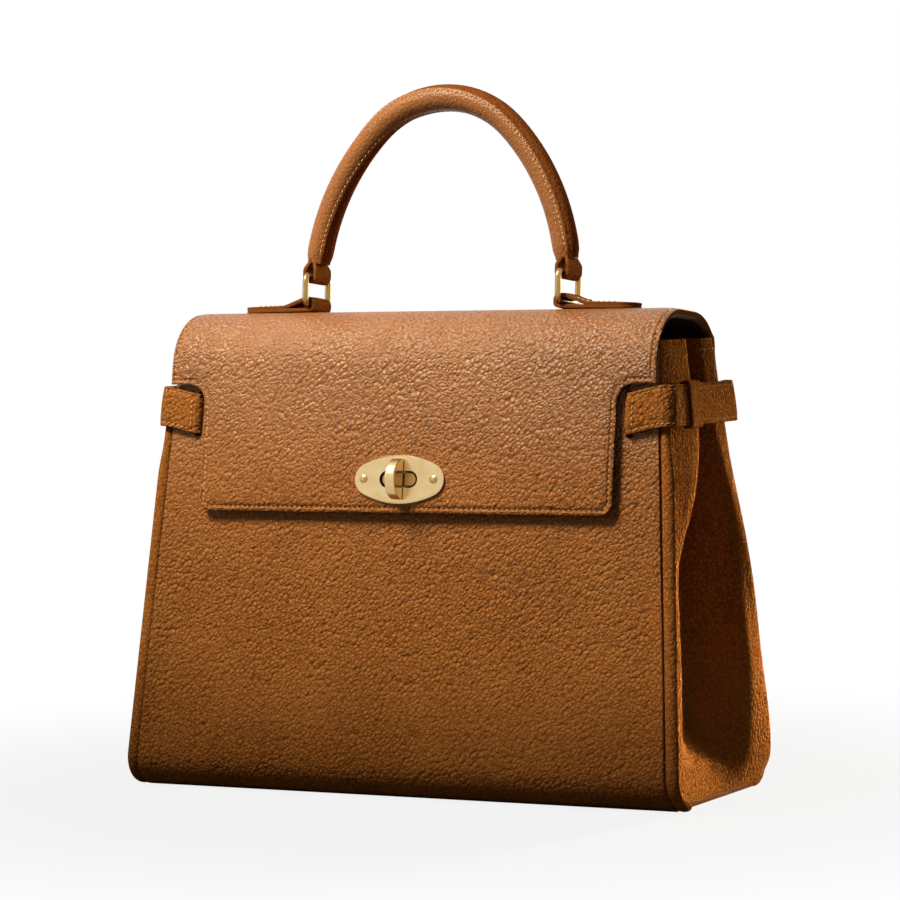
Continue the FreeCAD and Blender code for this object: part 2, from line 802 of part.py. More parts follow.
# Turn knob: a half coin across the slot when locked, on a shaft through the boss.
knob = new_body("turn_knob")
knob_low = s.plate_wall + s.knob_lift
knob_dome = s.knob_rise - s.knob_straight
knob_bend = (s.knob_half_long * s.knob_half_long + knob_dome * knob_dome) / (2 * knob_dome)
profile = sketch_on(knob, "Coin", "YZ_Plane")
shoulder = knob_low + s.knob_straight
outline(profile, [(-s.knob_half_long, knob_low), (s.knob_half_long, knob_low), (s.knob_half_long, shoulder),
                  (zero, knob_low + s.knob_rise), (-s.knob_half_long, shoulder)],
        {2: (knob_bend, 1), 3: (knob_bend, 1)})
feature = pad(knob, "CoinPad", profile, s.knob_wall)
rounded = knob.newObject("PartDesign::Fillet", "CoinEdges")
coin_rim = []
for index, edge in enumerate(feature.Shape.Edges, start=1):
    points = [vertex.Point for vertex in edge.Vertexes]
    above = min(point.z for point in points) > knob_low.value + s.glue_gap.value
    if above and abs(points[0].x - points[-1].x) < s.glue_gap.value:
        coin_rim.append(f"Edge{index}")
rounded.Base = (feature, coin_rim)
rounded.setExpression("Radius", s.knob_edge.text)
doc.recompute()
profile = sketch_on(knob, "Shaft", "XY_Plane", backing_low)
circle(profile, zero, zero, s.shaft_radius)
pad(knob, "ShaftPad", profile, knob_low - backing_low + s.knob_lift, symmetric=False)
place_lock(knob)
made.append(knob)


# Chapes, rings and handle share a frame on the crown, which slopes back with the flap.
def place_crown(piece):
    place(piece, zero, s.handle_y, s.crown_height, FreeCAD.Vector(-1, 0, 0), tilt(s.crown_slope))


loop_inner = s.bar_radius + s.loop_fit
chape_outer = loop_inner + s.chape_wall
low_bar = s.glue_gap + chape_outer
high_bar = low_bar + s.ring_pitch
tab_outer = loop_inner + s.tab_wall

for name, side in sides.items():
    chape = new_body(f"chape_{name}")
    centre = side * s.handle_half_span
    profile = sketch_on(chape, "FoldedStrip", "XZ_Plane")
    fold = side * (s.handle_half_span + s.chape_fold)
    tip = side * s.chape_tip
    ply = s.glue_gap + s.chape_ply
    outline(profile, [(tip, s.glue_gap), (centre, s.glue_gap), (centre - side * chape_outer, low_bar),
                      (centre, low_bar + chape_outer), (fold, ply), (tip, ply)],
            {1: (chape_outer, -side), 2: (chape_outer, -side)})
    circle(profile, centre, low_bar, loop_inner)
    feature = pad(chape, "Leather", profile, 2 * s.chape_half_width)
    tips = [(tip, way * s.chape_half_width, None) for way in sides.values()]
    round_edges(chape, "RoundTip", feature, tips, s.chape_tip_radius)
    place_crown(chape)
    made.append(chape)

for name, side in sides.items():
    ring = new_body(f"ring_{name}")
    centre = side * s.handle_half_span
    profile = sketch_on(ring, "Section", "XZ_Plane")
    circle(profile, centre, low_bar, s.bar_radius)
    path = sketch_on(ring, "Path", "YZ_Plane", centre)
    bend = s.ring_corner_radius
    deep = s.ring_half_deep
    outline(path, [(zero, low_bar), (deep - bend, low_bar), (deep, low_bar + bend),
                   (deep, high_bar - bend), (deep - bend, high_bar), (zero, high_bar)],
            {1: (bend, 1), 3: (bend, 1)}, closed=False)
    mirror(ring, "FrontHalf", sweep(ring, "BackHalf", profile, path), "XZ_Plane")
    place_crown(ring)
    made.append(ring)

# Handle: two half covers over a core, along three arcs that meet smoothly.
side_radius = s.handle_side_radius
side_shift = side_radius - s.handle_half_span
top_spare = side_radius * side_radius - s.handle_rise * s.handle_rise - side_shift * side_shift
top_radius = top_spare / (2 * (side_radius - s.handle_rise))
meet = side_radius / (side_radius - top_radius)
meet_x = meet * side_shift - side_shift
meet_z = s.handle_spring + meet * (s.handle_rise - top_radius)
apex = s.handle_spring + s.handle_rise


def leg_x(height):
    rise = height - s.handle_spring
    return root(side_radius * side_radius - rise * rise) - side_shift


def along_handle(label, end, draw):
    body = new_body(label)
    profile = sketch_on(body, "Section", "YZ_Plane")
    draw(profile)
    path = sketch_on(body, "Path", "XZ_Plane")
    outline(path, [(zero, apex), (meet_x, meet_z), (leg_x(end), end)],
            {0: (top_radius, -1), 1: (side_radius, -1)}, closed=False)
    mirror(body, "LeftHalf", sweep(body, "RightHalf", profile, path), "YZ_Plane")
    place_crown(body)
    made.append(body)


def half_cover(way):
    def draw(sketch):
        outer = s.handle_radius
        inner = s.handle_radius - s.handle_wall
        seam = way * s.glue_gap
        outline(sketch, [(seam, apex - outer), (seam + way * outer, apex), (seam, apex + outer),
                         (seam, apex + inner), (seam + way * inner, apex), (seam, apex - inner)],
                {0: (outer, way), 1: (outer, way), 3: (inner, -way), 4: (inner, -way)})
    return draw


def core_section(sketch):
    circle(sketch, zero, apex, s.handle_radius - s.handle_wall - s.core_gap)


along_handle("handle_front_leather", s.handle_end, half_cover(-1))
along_handle("handle_back_leather", s.handle_end, half_cover(1))
along_handle("handle_core", s.core_end, core_section)

for name, side in sides.items():
    tab = new_body(f"handle_tab_{name}")
    centre = side * s.handle_half_span
    profile = sketch_on(tab, "Loop", "XZ_Plane")
    circle(profile, centre, high_bar, tab_outer)
    pad(tab, "LoopLeather", profile, 2 * s.tab_half_width)
    profile = sketch_on(tab, "Stem", "XZ_Plane")
    half = s.stem_wall / 2
    root_z = high_bar + loop_inner
    stem_x = side * leg_x(s.stem_top)
    outline(profile, [(centre - half, root_z), (centre + half, root_z),
                      (stem_x + half, s.stem_top), (stem_x - half, s.stem_top)])
    pad(tab, "StemLeather", profile, 2 * s.stem_half_width)
    profile = sketch_on(tab, "Eye", "XZ_Plane")
    circle(profile, centre, high_bar, loop_inner)
    cut(tab, "EyeCut", profile)
    place_crown(tab)
    made.append(tab)

doc.recompute()

for item in doc.Objects:
    if "Invalid" in item.State or "Error" in item.State:
        raise RuntimeError(f"{item.Label} did not build: {item.State}")
os.makedirs("parts", exist_ok=True)
for piece in made:
    shape = piece.Shape
    if shape.isNull() or not shape.isValid() or not shape.Solids:
        raise RuntimeError(f"{piece.Label} has no sound solid")
    shape.exportStep(f"parts/{piece.Label}.step")
    print(piece.Label, len(shape.Solids), round(shape.Volume), [round(v, 1) for v in (
        shape.BoundBox.XMin, shape.BoundBox.XMax, shape.BoundBox.YMin, shape.BoundBox.YMax,
        shape.BoundBox.ZMin, shape.BoundBox.ZMax)])
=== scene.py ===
from bisect import bisect_right
from math import asin, atan2, cos, exp, hypot, pi, radians, sin, sqrt, tan

import bmesh
import bpy
from mathutils import Matrix, Vector


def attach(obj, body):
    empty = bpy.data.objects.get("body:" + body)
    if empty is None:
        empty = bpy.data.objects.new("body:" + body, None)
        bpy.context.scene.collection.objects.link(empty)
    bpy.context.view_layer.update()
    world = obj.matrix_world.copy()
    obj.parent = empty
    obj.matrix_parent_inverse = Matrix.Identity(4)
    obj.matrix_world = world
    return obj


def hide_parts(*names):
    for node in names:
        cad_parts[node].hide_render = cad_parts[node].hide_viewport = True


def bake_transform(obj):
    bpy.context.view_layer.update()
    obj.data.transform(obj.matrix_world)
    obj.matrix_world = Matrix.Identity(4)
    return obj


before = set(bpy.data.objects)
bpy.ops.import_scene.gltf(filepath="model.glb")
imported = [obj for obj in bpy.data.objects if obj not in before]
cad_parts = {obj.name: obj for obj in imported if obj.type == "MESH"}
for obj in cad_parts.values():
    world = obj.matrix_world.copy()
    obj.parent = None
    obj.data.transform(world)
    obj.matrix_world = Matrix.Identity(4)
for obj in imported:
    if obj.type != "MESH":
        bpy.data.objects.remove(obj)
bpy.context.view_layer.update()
print("frame loaded,", len(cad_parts), "nodes")

sides = (("left", -1), ("right", 1))
making = {"tiny": 1e-9, "ahead": 0.0004, "weld": 0.00001, "bevelTurn": radians(38), "bevelSteps": 2}
bag = {
    "halfBase": 0.150, "halfMouth": 0.1357,      # across, at the table and at the mouth
    "deepBase": 0.068, "deepMouth": 0.0352,      # from the middle to the front or back
    "mouthHigh": 0.226, "footBend": 0.016, "bendReach": 0.0125, "seam": 0.046,
    "crownHigh": 0.244, "crownFall": 0.09, "crownBend": 0.030, "handleY": -0.003,
    "flapOut": 0.0054, "lockHigh": 0.1605,
}
lean = (bag["deepBase"] - bag["deepMouth"]) / bag["mouthHigh"]
flare = (bag["halfBase"] - bag["halfMouth"]) / bag["mouthHigh"]
leanStretch = sqrt(1 + lean * lean)


def faceY(z, out=0.0):
    return bag["deepBase"] + out * leanStretch - lean * z


def halfWide(z):
    return bag["halfBase"] - flare * z


def crownCorner(side, out=0.0):
    reach = bag["deepBase"] + out * leanStretch
    top = bag["crownHigh"] + bag["crownFall"] * bag["handleY"]
    y = side * (reach - lean * top) / (1 - side * lean * bag["crownFall"])
    return (y, top - bag["crownFall"] * y)


def smooth(low, high, value):
    share = min(max((value - low) / (high - low), 0.0), 1.0)
    return share * share * (3 - 2 * share)


def hump(gap, tall, wide, middle=0.0):    # a bell across a seam or an edge
    return tall * exp(-((gap - middle) / wide) ** 2)


def ripple(x, z, tall, across, start, up):    # the faint unevenness of a leather face
    return tall * sin(across * x + start) * sin(up * z)


def near(middle, reach):
    return middle - reach, middle + reach


def mirrored(values):    # falling values, also with a minus sign, in rising order
    return [-value for value in values if value] + list(reversed(values))


def evenly(first, last, count):
    return [first + (last - first) * i / count for i in range(count + 1)]


def spread(stops, step):    # even values from stop to stop, about one step apart
    values = [stops[0]]
    for low, high in zip(stops, stops[1:]):
        values += evenly(low, high, max(1, round(abs(high - low) / step)))[1:]
    return values


def runs(first, *legs):    # each leg has its own stop and step
    values = [first]
    for stop, step in legs:
        values += spread([values[-1], stop], step)[1:]
    return values


class Route:    # straight runs with rounded corners in one plane, read by length
    def __init__(self, corners, bends=(), steps=14):
        spots = [Vector(corner) for corner in corners]
        self.points = [spots[0]]
        marks = []
        for before, corner, after, bend in zip(spots, spots[1:], spots[2:], bends):
            back = (before - corner).normalized()
            ahead = (after - corner).normalized()
            half = back.angle(ahead) / 2
            centre = corner + (back + ahead).normalized() * bend / sin(half)
            start = corner + back * bend / tan(half) - centre
            stop = corner + ahead * bend / tan(half) - centre
            turn = atan2(start.x * stop.y - start.y * stop.x, start.dot(stop))
            first = atan2(start.y, start.x)
            for angle in evenly(first, first + turn, steps):
                self.points.append(centre + bend * Vector((cos(angle), sin(angle))))
            marks.append(len(self.points) - 1 - steps // 2)
        self.points += spots[len(bends) + 1:]
        self.lengths = [0.0]
        for a, b in zip(self.points, self.points[1:]):
            self.lengths.append(self.lengths[-1] + (b - a).length)
        self.total = self.lengths[-1]
        self.middles = [self.lengths[mark] for mark in marks]

    def at(self, length):
        index = min(max(bisect_right(self.lengths, length) - 1, 0), len(self.points) - 2)
        span = max(self.lengths[index + 1] - self.lengths[index], making["tiny"])
        return self.points[index].lerp(self.points[index + 1], (length - self.lengths[index]) / span)

    def outward(self, length):    # a quarter turn clockwise from the way the route heads
        ahead = self.at(min(length + making["ahead"], self.total))
        way = (ahead - self.at(max(length - making["ahead"], 0.0))).normalized()
        return Vector((way.y, -way.x))


def mappedSheet(across, along, put, keep=None, paint=None):
    shape = bmesh.new()
    bmesh.ops.create_grid(shape, x_segments=len(across) - 1, y_segments=len(along) - 1, size=1)
    spots = {}
    for vert in shape.verts:
        i = round((vert.co.x + 1) / 2 * (len(across) - 1))
        j = round((vert.co.y + 1) / 2 * (len(along) - 1))
        spots[vert] = (across[i], along[j])
    for vert in shape.verts:
        vert.co = put(*spots[vert])
    drop = []
    for face in shape.faces:
        a = sum(spots[vert][0] for vert in face.verts) / len(face.verts)
        b = sum(spots[vert][1] for vert in face.verts) / len(face.verts)
        if paint:
            face.material_index = paint(a, b)
        if keep and not keep(a, b):
            drop.append(face)
    bmesh.ops.delete(shape, geom=drop, context="FACES")
    return shape


def onSide(side, surface):    # the position alone, on one side of the bag
    def put(across, length):
        return surface(side, across, length)[0]
    return put


def weld(shape):
    bmesh.ops.remove_doubles(shape, verts=shape.verts, dist=making["weld"])
    return shape


def tube(turns, along, put, paint=None):    # a sheet closed round and at both ends
    shape = weld(mappedSheet(turns, along, put, None, paint))
    bmesh.ops.holes_fill(shape, edges=shape.edges, sides=len(turns) - 1)
    return shape


def addObject(shape, name, finishes):
    for face in shape.faces:
        face.smooth = True
    mesh = bpy.data.meshes.new(name)
    shape.to_mesh(mesh)
    shape.free()
    for finish in finishes:
        mesh.materials.append(finish.block)
    added = bpy.data.objects.new(name, mesh)
    bpy.context.scene.collection.objects.link(added)
    return added


def makePiece(shape, name, finishes, body=None, nodes=()):
    piece = addObject(shape, name, finishes)
    if body:
        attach(piece, body)
    if nodes:
        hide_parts(*nodes)
    return piece


def thicken(piece, look, lined=False):    # a lined sheet grows inward, any other to both faces
    thick = piece.modifiers.new("wall", "SOLIDIFY")
    thick.thickness = look["wall"]
    thick.offset = -1.0 if lined else 0.0
    thick.use_even_offset = True
    thick.material_offset = 1 if lined else 0
    if "edge" in look:
        thick.material_offset_rim = 2
        edge = piece.modifiers.new("edge", "BEVEL")
        edge.width = look["edge"]
        edge.segments = making["bevelSteps"]
        edge.limit_method = "ANGLE"
        edge.angle_limit = making["bevelTurn"]


def makePair(title, node, body, finishes, look, build, lined=False):    # a left and a right piece
    for name, side in sides:
        piece = makePiece(build(side), f"{title}{name.title()}", finishes, body,
                          [f"{node}_{name}"])
        if "wall" in look:
            thicken(piece, look, lined)


# finishes

class Flow:    # one output socket; sums on it add Math nodes
    def __init__(self, finish, socket):
        self.finish = finish
        self.socket = socket

    def sum(self, operation, first, second):
        return self.finish.node("ShaderNodeMath", {"operation": operation}, {0: first, 1: second})

    def __add__(self, other):
        return self.sum("ADD", self, other)

    def __radd__(self, other):
        return self.sum("ADD", other, self)

    def __sub__(self, other):
        return self.sum("SUBTRACT", self, other)

    def __rsub__(self, other):
        return self.sum("SUBTRACT", other, self)

    def __mul__(self, other):
        return self.sum("MULTIPLY", self, other)

    def __rmul__(self, other):
        return self.sum("MULTIPLY", other, self)


class Finish:    # the nodes of a material, or of the world
    def __init__(self, name, blocks=bpy.data.materials):
        self.block = blocks.new(name)
        self.block.use_nodes = True
        self.tree = self.block.node_tree
        self.exit = next(node for node in self.tree.nodes if node.type.startswith("OUTPUT"))
        self.shader = self.exit.inputs[0].links[0].from_node

    def node(self, kind, settings, sockets, output=0):
        node = self.tree.nodes.new(kind)
        for name, value in settings.items():
            setattr(node, name, value)
        for name, value in sockets.items():
            self.feed(node.inputs[name], value)
        return Flow(self, node.outputs[output])

    def feed(self, socket, value):
        if isinstance(value, Flow):
            self.tree.links.new(value.socket, socket)
        else:
            socket.default_value = value

    def shade(self, **sockets):
        for name, value in sockets.items():
            self.feed(self.shader.inputs[name.replace("_", " ")], value)
        return Flow(self, self.shader.outputs[0])

    def cover(self, share, first, **sockets):    # a second coat that shows by this share
        self.shader = self.tree.nodes.new("ShaderNodeBsdfPrincipled")
        self.blend(share, first, self.shade(**sockets))

    def blend(self, share, first, second):
        mixed = self.node("ShaderNodeMixShader", {}, {0: share, 1: first, 2: second})
        self.feed(self.exit.inputs[0], mixed)

    def seen(self):    # 1 for the rays that should meet plain white, 0 for those that light the bag
        camera, glossy, through = [self.node("ShaderNodeLightPath", {}, {}, f"Is {kind} Ray")
                                   for kind in ("Camera", "Glossy", "Transmission")]
        return camera + glossy + through

    def place(self):
        return self.node("ShaderNodeTexCoord", {}, {}, "Object")

    def noise(self, where, scale, detail=2.0, rough=0.5, output="Fac"):
        return self.node("ShaderNodeTexNoise", {},
                         {"Vector": where, "Scale": scale, "Detail": detail, "Roughness": rough}, output)

    def step(self, value, low, high, bottom=0.0, top=1.0):
        return self.node("ShaderNodeMapRange", {"interpolation_type": "SMOOTHSTEP"},
                         {"Value": value, "From Min": low, "From Max": high, "To Min": bottom, "To Max": top})

    def mix(self, share, first, second, blend="MIX"):
        return self.node("ShaderNodeMix", {"data_type": "RGBA", "blend_type": blend},
                         {0: share, 6: first, 7: second}, 2)

    def bump(self, height, strength, distance):
        return self.node("ShaderNodeBump", {},
                         {"Height": height, "Strength": strength, "Distance": distance}, "Normal")


def tint(red, green, blue):    # a screen colour of 0 to 255 as linear light
    def linear(part):
        part /= 255
        return part / 12.92 if part <= 0.04045 else ((part + 0.055) / 1.055) ** 2.4
    return (linear(red), linear(green), linear(blue), 1.0)


def pebbledLeather(name, look):
    finish = Finish(name)
    place = finish.place()
    bent = finish.node("ShaderNodeVectorMath", {"operation": "MULTIPLY_ADD"},
                       {0: finish.noise(place, *look["drift"], "Color"), 1: (look["wander"],) * 3, 2: place})
    drawn = finish.node("ShaderNodeMapping", {"vector_type": "TEXTURE"},
                        {"Vector": bent, "Rotation": (0.0, -look["slant"], 0.0),
                         "Scale": (look["drawn"], 1.0, 1.0)})
    gap, *reaches = [finish.node("ShaderNodeTexVoronoi", {"feature": feature},
                                 {"Vector": drawn, "Scale": finer / look["pebble"]}, "Distance")
                     for feature, finer in (("DISTANCE_TO_EDGE", 1.0), ("F1", 1.0), ("F1", look["finer"]))]
    dome, grain = [1.0 - reach * reach * look["steep"] for reach in reaches]
    pores = finish.noise(place, *look["pores"])
    broad = finish.noise(place, *look["broad"])
    patch = finish.step(finish.noise(place, *look["patch"]), *look["patchRange"])
    height = dome * (1.0 - patch * look["patchFlat"]) + grain * (look["grain"] + patch * look["patchGrain"])
    height = height + pores * look["poreHigh"]
    # painted shade: the creases between the pebbles take a darker colour
    creaseShade = finish.mix(finish.step(gap, *look["creaseRange"]), look["creaseShade"], look["colour"])
    wearAndShade = finish.mix(finish.step(broad, *look["wornRange"], 0.0, look["wear"]), creaseShade, look["light"])
    rise = finish.node("ShaderNodeSeparateXYZ", {}, {0: place}, 2)
    # painted shade: below the foot height the colour darkens, most strongly at the floor
    wearAndShade = finish.mix(1.0, wearAndShade, finish.step(rise, 0.0, look["foot"], look["footShade"], 1.0), "MULTIPLY")
    rough = look["rough"] - dome * look["domeRub"] + pores * look["poreRough"]
    skin = {"Base_Color": wearAndShade, "Roughness": rough, "Normal": finish.bump(height, 1.0, look["deep"])}
    matte = finish.shade(Specular_IOR_Level=0.0, **skin)
    if look["shine"]:
        gloss = finish.step(rise, *look["dull"]) + finish.step(rise, *look["polish"])
        finish.cover(gloss, matte, Specular_IOR_Level=look["shine"], Specular_Tint=look["sheen"], **skin)
    return finish


def mottled(name, look):    # two tones of one noise, which also roughens the surface
    finish = Finish(name)
    grain = finish.noise(finish.place(), *look["grain"])
    rough, uneven = look["rough"]
    finish.shade(Base_Color=finish.mix(grain, look["dark"], look["colour"]), Roughness=grain * uneven + rough,
                 Metallic=look["metal"], Specular_IOR_Level=look["shine"],
                 Normal=finish.bump(grain, *look["bump"]))
    return finish


# a noise is given as scale, detail and roughness, and gloss as its heights and its two amounts
leatherLook = {
    # painted shade: the crease colour is painted into the creases between the pebbles
    "colour": tint(157, 95, 41), "creaseShade": tint(116, 66, 25), "light": tint(165, 103, 48),
    "sheen": (0.90, 0.94, 0.76, 1.0), "shine": 0.5, "dull": (0.02, 0.15, 0.0, 0.2),
    "polish": (0.14, 0.228, 0.0, 0.8), "rough": 0.34, "domeRub": 0.06, "poreRough": 0.1,
    "pebble": 0.0019, "finer": 1.8, "steep": 1.6, "slant": radians(44), "drawn": 1.35, "wander": 0.0012,
    "drift": (200.0, 2.0, 0.6), "pores": (1400.0, 2.0, 0.6), "broad": (16.0, 3.0, 0.55),
    "patch": (100.0, 2.0, 0.5), "patchRange": (0.35, 0.65), "patchFlat": 0.5, "patchGrain": 0.4,
    "grain": 0.25, "poreHigh": 0.12, "deep": 0.0006, "creaseRange": (0.0, 0.24),
    # painted shade: below the foot height the colour is darkened, most strongly at the floor
    "wornRange": (0.35, 0.75), "wear": 0.35, "foot": 0.10, "footShade": 0.40,
}
leather = pebbledLeather("leather", leatherLook)
sideLook = dict(leatherLook, shine=0.0, rough=0.5, footShade=0.9)
sideLeather = pebbledLeather("sideLeather", sideLook)
trimLook = dict(leatherLook, pebble=0.0017, deep=0.0003, shine=0.0, rough=0.5)
trimLeather = pebbledLeather("trimLeather", trimLook)
handleLook = dict(leatherLook, colour=tint(152, 92, 42), creaseShade=tint(126, 74, 32), light=tint(160, 100, 50),
                  pebble=0.0015, deep=0.00018, shine=0.25)
handleLeather = pebbledLeather("handleLeather", handleLook)
# painted shade: a darker, matte copy of the handle leather for the back of the roll, which lies in shade
handleShadedBackLook = dict(handleLook, colour=tint(136, 74, 32), creaseShade=tint(104, 54, 22),
                      light=tint(142, 80, 36), shine=0.0)
handleBack = pebbledLeather("handleBack", handleShadedBackLook)

edgeLook = {"colour": tint(124, 72, 34), "dark": tint(98, 54, 24), "grain": (420.0, 3.0),
            "rough": (0.45, 0.2), "bump": (0.25, 0.0003), "metal": 0.0, "shine": 0.0}
edgePaint = mottled("edgePaint", edgeLook)
threadLook = {"colour": tint(228, 172, 110), "dark": tint(190, 132, 78), "grain": (2600.0, 2.0),
              "rough": (0.45, 0.2), "bump": (0.4, 0.0002), "metal": 0.0, "shine": 0.0}
thread = mottled("waxedThread", threadLook)
agedLook = {"colour": tint(188, 156, 102), "dark": tint(142, 110, 64), "grain": (260.0, 3.0),
            "rough": (0.24, 0.1), "bump": (0.05, 0.0002), "metal": 1.0, "shine": 0.5}
aged = mottled("agedGold", agedLook)
boardLook = {"colour": tint(132, 118, 100), "dark": tint(108, 94, 78), "grain": (900.0, 4.0, 0.7),
             "rough": (0.85, 0.1), "bump": (0.2, 0.0003), "metal": 0.0, "shine": 0.5}
board = mottled("greyBoard", boardLook)

# the lining's dark brown is partly its own colour and partly painted shade for the shadowed inside of the bag
suedeLook = {"colour": tint(74, 45, 26), "dark": tint(56, 33, 18), "nap": (1800.0, 3.0, 0.7),
             "brushed": (34.0, 2.0), "rough": 0.86, "uneven": 0.1, "bump": (0.3, 0.0003), "shine": 0.2}
lining = Finish("liningSuede")
napPlace = lining.place()
nap = lining.noise(napPlace, *suedeLook["nap"])
brushed = lining.noise(napPlace, *suedeLook["brushed"])
lining.shade(Base_Color=lining.mix((nap + brushed) * 0.5, suedeLook["dark"], suedeLook["colour"]),
             Roughness=nap * suedeLook["uneven"] + suedeLook["rough"],
             Specular_IOR_Level=suedeLook["shine"], Normal=lining.bump(nap, *suedeLook["bump"]))

goldLook = {"colour": tint(226, 200, 150), "dark": tint(206, 172, 116), "brush": (60.0, 60.0, 1600.0),
            "hairline": (1.0, 3.0), "cloud": (130.0, 3.0), "rough": 0.16, "hairRough": 0.08,
            "cloudRough": 0.06, "bump": (0.03, 0.0002)}
gold = Finish("paleGold")
goldPlace = gold.place()
brush = gold.node("ShaderNodeMapping", {}, {"Vector": goldPlace, "Scale": goldLook["brush"]})
hairline = gold.noise(brush, *goldLook["hairline"])
cloud = gold.noise(goldPlace, *goldLook["cloud"])
goldRough = hairline * goldLook["hairRough"] + cloud * goldLook["cloudRough"] + goldLook["rough"]
gold.shade(Base_Color=gold.mix(cloud, goldLook["dark"], goldLook["colour"]), Metallic=1.0,
           Roughness=goldRough, Normal=gold.bump(hairline, *goldLook["bump"]))
print("finishes made")


# front leather: mouth to the foot bend and on under the bag

front = {
    "wall": 0.0024, "edge": 0.0006, "step": 0.0042, "across": 0.026, "sewn": 0.0003,
    "slotX": 0.122, "slotZ": 0.193, "slotWide": 0.0018, "slotTall": 0.01125,
    "puff": 0.0042, "puffRise": (0.012, 0.150), "puffLow": 0.75, "puffEdge": 18, "under": -0.04,
    "wave": (0.0003, 5.7, 1.0, 52), "waveEdge": 6,
}
frontRoute = Route([(-bag["deepMouth"], bag["mouthHigh"]), (-bag["deepBase"], 0.0),
                    (bag["seam"] - front["sewn"], 0.0)], [bag["footBend"]])


def frontDown(z):    # length at a height on the front
    return (bag["mouthHigh"] - z) * leanStretch


def frontSpot(share, length):
    spot = frontRoute.at(length)
    if spot.x < front["under"]:    # the leather under the bag stays flat
        swell = front["puff"] * sin(pi * smooth(*front["puffRise"], spot.y) ** front["puffLow"])
        wave = ripple(share, spot.y, *front["wave"])
        lift = swell * (1 - share ** front["puffEdge"]) + wave * (1 - share ** front["waveEdge"])
        spot = spot - frontRoute.outward(length) * lift
    return Vector((share * halfWide(max(spot.y, 0.0)), spot.x, spot.y))


slotIn, slotOut = [x / halfWide(front["slotZ"]) for x in near(front["slotX"], front["slotWide"])]
slotLow, slotHigh = [frontDown(z) for z in near(front["slotZ"], front["slotTall"])]
frontAcross = spread([1.0, slotOut, slotIn, -slotIn, -slotOut, -1.0], front["across"])
frontBend = near(frontRoute.middles[0], bag["bendReach"])
frontAlong = spread([0.0, slotHigh, slotLow, *frontBend, frontRoute.total], front["step"])


def frontKeep(share, length):
    return not (slotIn < abs(share) < slotOut and slotHigh < length < slotLow)


frontLeather = makePiece(mappedSheet(frontAcross, frontAlong, frontSpot, frontKeep), "frontLeather",
                         [leather, lining, edgePaint], "bag_body", ["front_panel", "base_panel"])
thicken(frontLeather, front, True)
print("front leather made")


# back leather and flap: one sheet from the base seam up the back, over the crown and down the front

flap = {
    "wall": 0.0027, "edge": 0.0006, "step": 0.0042, "halfUpper": 0.1375, "halfNotch": 0.126,
    "halfLower": 0.117, "low": 0.144, "notch": 0.2085, "notchBend": 0.009, "notchNear": 0.03,
    "tipBend": 0.006, "foldHigh": 0.2165, "foldPast": 0.0135, "widen": 0.012,
    "seam": 0.0022, "groove": (0.0013, 0.0008), "roll": (0.0009, 0.0009), "slotLong": 0.0125,
    "slotTall": 0.0062, "wave": (0.0004, 41, 0.6, 70), "waveRise": (0.05, 0.02), "waveTip": 0.03,
    "backPuff": 0.0016, "backRise": (0.03, 0.10), "backFall": (0.07, 0.01), "backHalf": 0.15,
    "backEdge": 4, "backWave": (0.0003, 33, 0.0, 46),
    "edgeSteps": (0.0, 0.0009, 0.0022, 0.0035), "aboveNotch": (0.0034, 0.0022, 0.0009),
    "belowNotch": (0.0, 0.0003, 0.0010, 0.0022, 0.0034, 0.0050, 0.0070, 0.0090),
    "aboveTip": (0.0060, 0.0045, 0.0034, 0.0022, 0.0011, 0.0004, 0.0),
    "blendStart": (0.0, -0.0593, 0.0290), "blendEnd": (0.0, -0.0737, 0.0360),
}
flapRoute = Route([(bag["seam"], 0.0), (bag["deepBase"], 0.0), crownCorner(1),
                   crownCorner(-1, bag["flapOut"]), (-faceY(flap["low"], bag["flapOut"]), flap["low"])],
                  [bag["footBend"], bag["crownBend"], bag["crownBend"]])


def flapDown(z):    # length at a height on the front of the flap
    return flapRoute.total - (z - flap["low"]) * leanStretch


def backUp(z):    # length at a height on the back
    bottom = Route([(bag["seam"], 0.0), (bag["deepBase"], 0.0), (faceY(z), z)], [bag["footBend"]])
    return bottom.total


foldAt = backUp(flap["foldHigh"]) + flap["foldPast"]
notchAt = flapDown(flap["notch"])
lockAt = flapDown(bag["lockHigh"])


def flapEdgeGap(x, length):    # distance to the nearest cut edge of the flap
    x = abs(x)
    if length < notchAt - flap["notchNear"]:
        return flap["halfUpper"] - x
    z = flap["low"] + (flapRoute.total - length) / leanStretch
    if x > flap["halfNotch"]:
        return min(flap["halfUpper"] - x, z - flap["notch"])
    rise = z - (flap["notch"] - flap["notchBend"])
    if rise > 0:
        return hypot(flap["halfNotch"] - x, rise) - flap["notchBend"]
    tip = flap["tipBend"]
    over, under = x - (flap["halfLower"] - tip), flap["low"] + tip - z
    if over > 0 and under > 0:
        return tip - hypot(over, under)
    return min(flap["halfLower"] - x, z - flap["low"])


def flapSurface(x, length):    # position and outward normal
    spot, out = flapRoute.at(length), flapRoute.outward(length)
    if length > foldAt:
        gap = max(flapEdgeGap(x, length), 0.0)
        start, stop = flap["waveRise"]
        shown = smooth(notchAt - start, notchAt + stop, length)
        shown *= smooth(0.0, flap["waveTip"], flapRoute.total - length)
        lift = shown * ripple(x, spot.y, *flap["wave"]) - hump(gap, *flap["roll"])
        lift -= hump(gap, *flap["groove"], flap["seam"])
    else:
        start, stop = flap["backFall"]
        middle = smooth(*flap["backRise"], length) * (1 - smooth(foldAt - start, foldAt - stop, length))
        lift = flap["backPuff"] * middle + ripple(x, spot.y, *flap["backWave"])
        lift *= 1 - (x / flap["backHalf"]) ** flap["backEdge"]
    spot = spot + out * lift
    return Vector((x, spot.x, spot.y)), Vector((0.0, out.x, out.y))


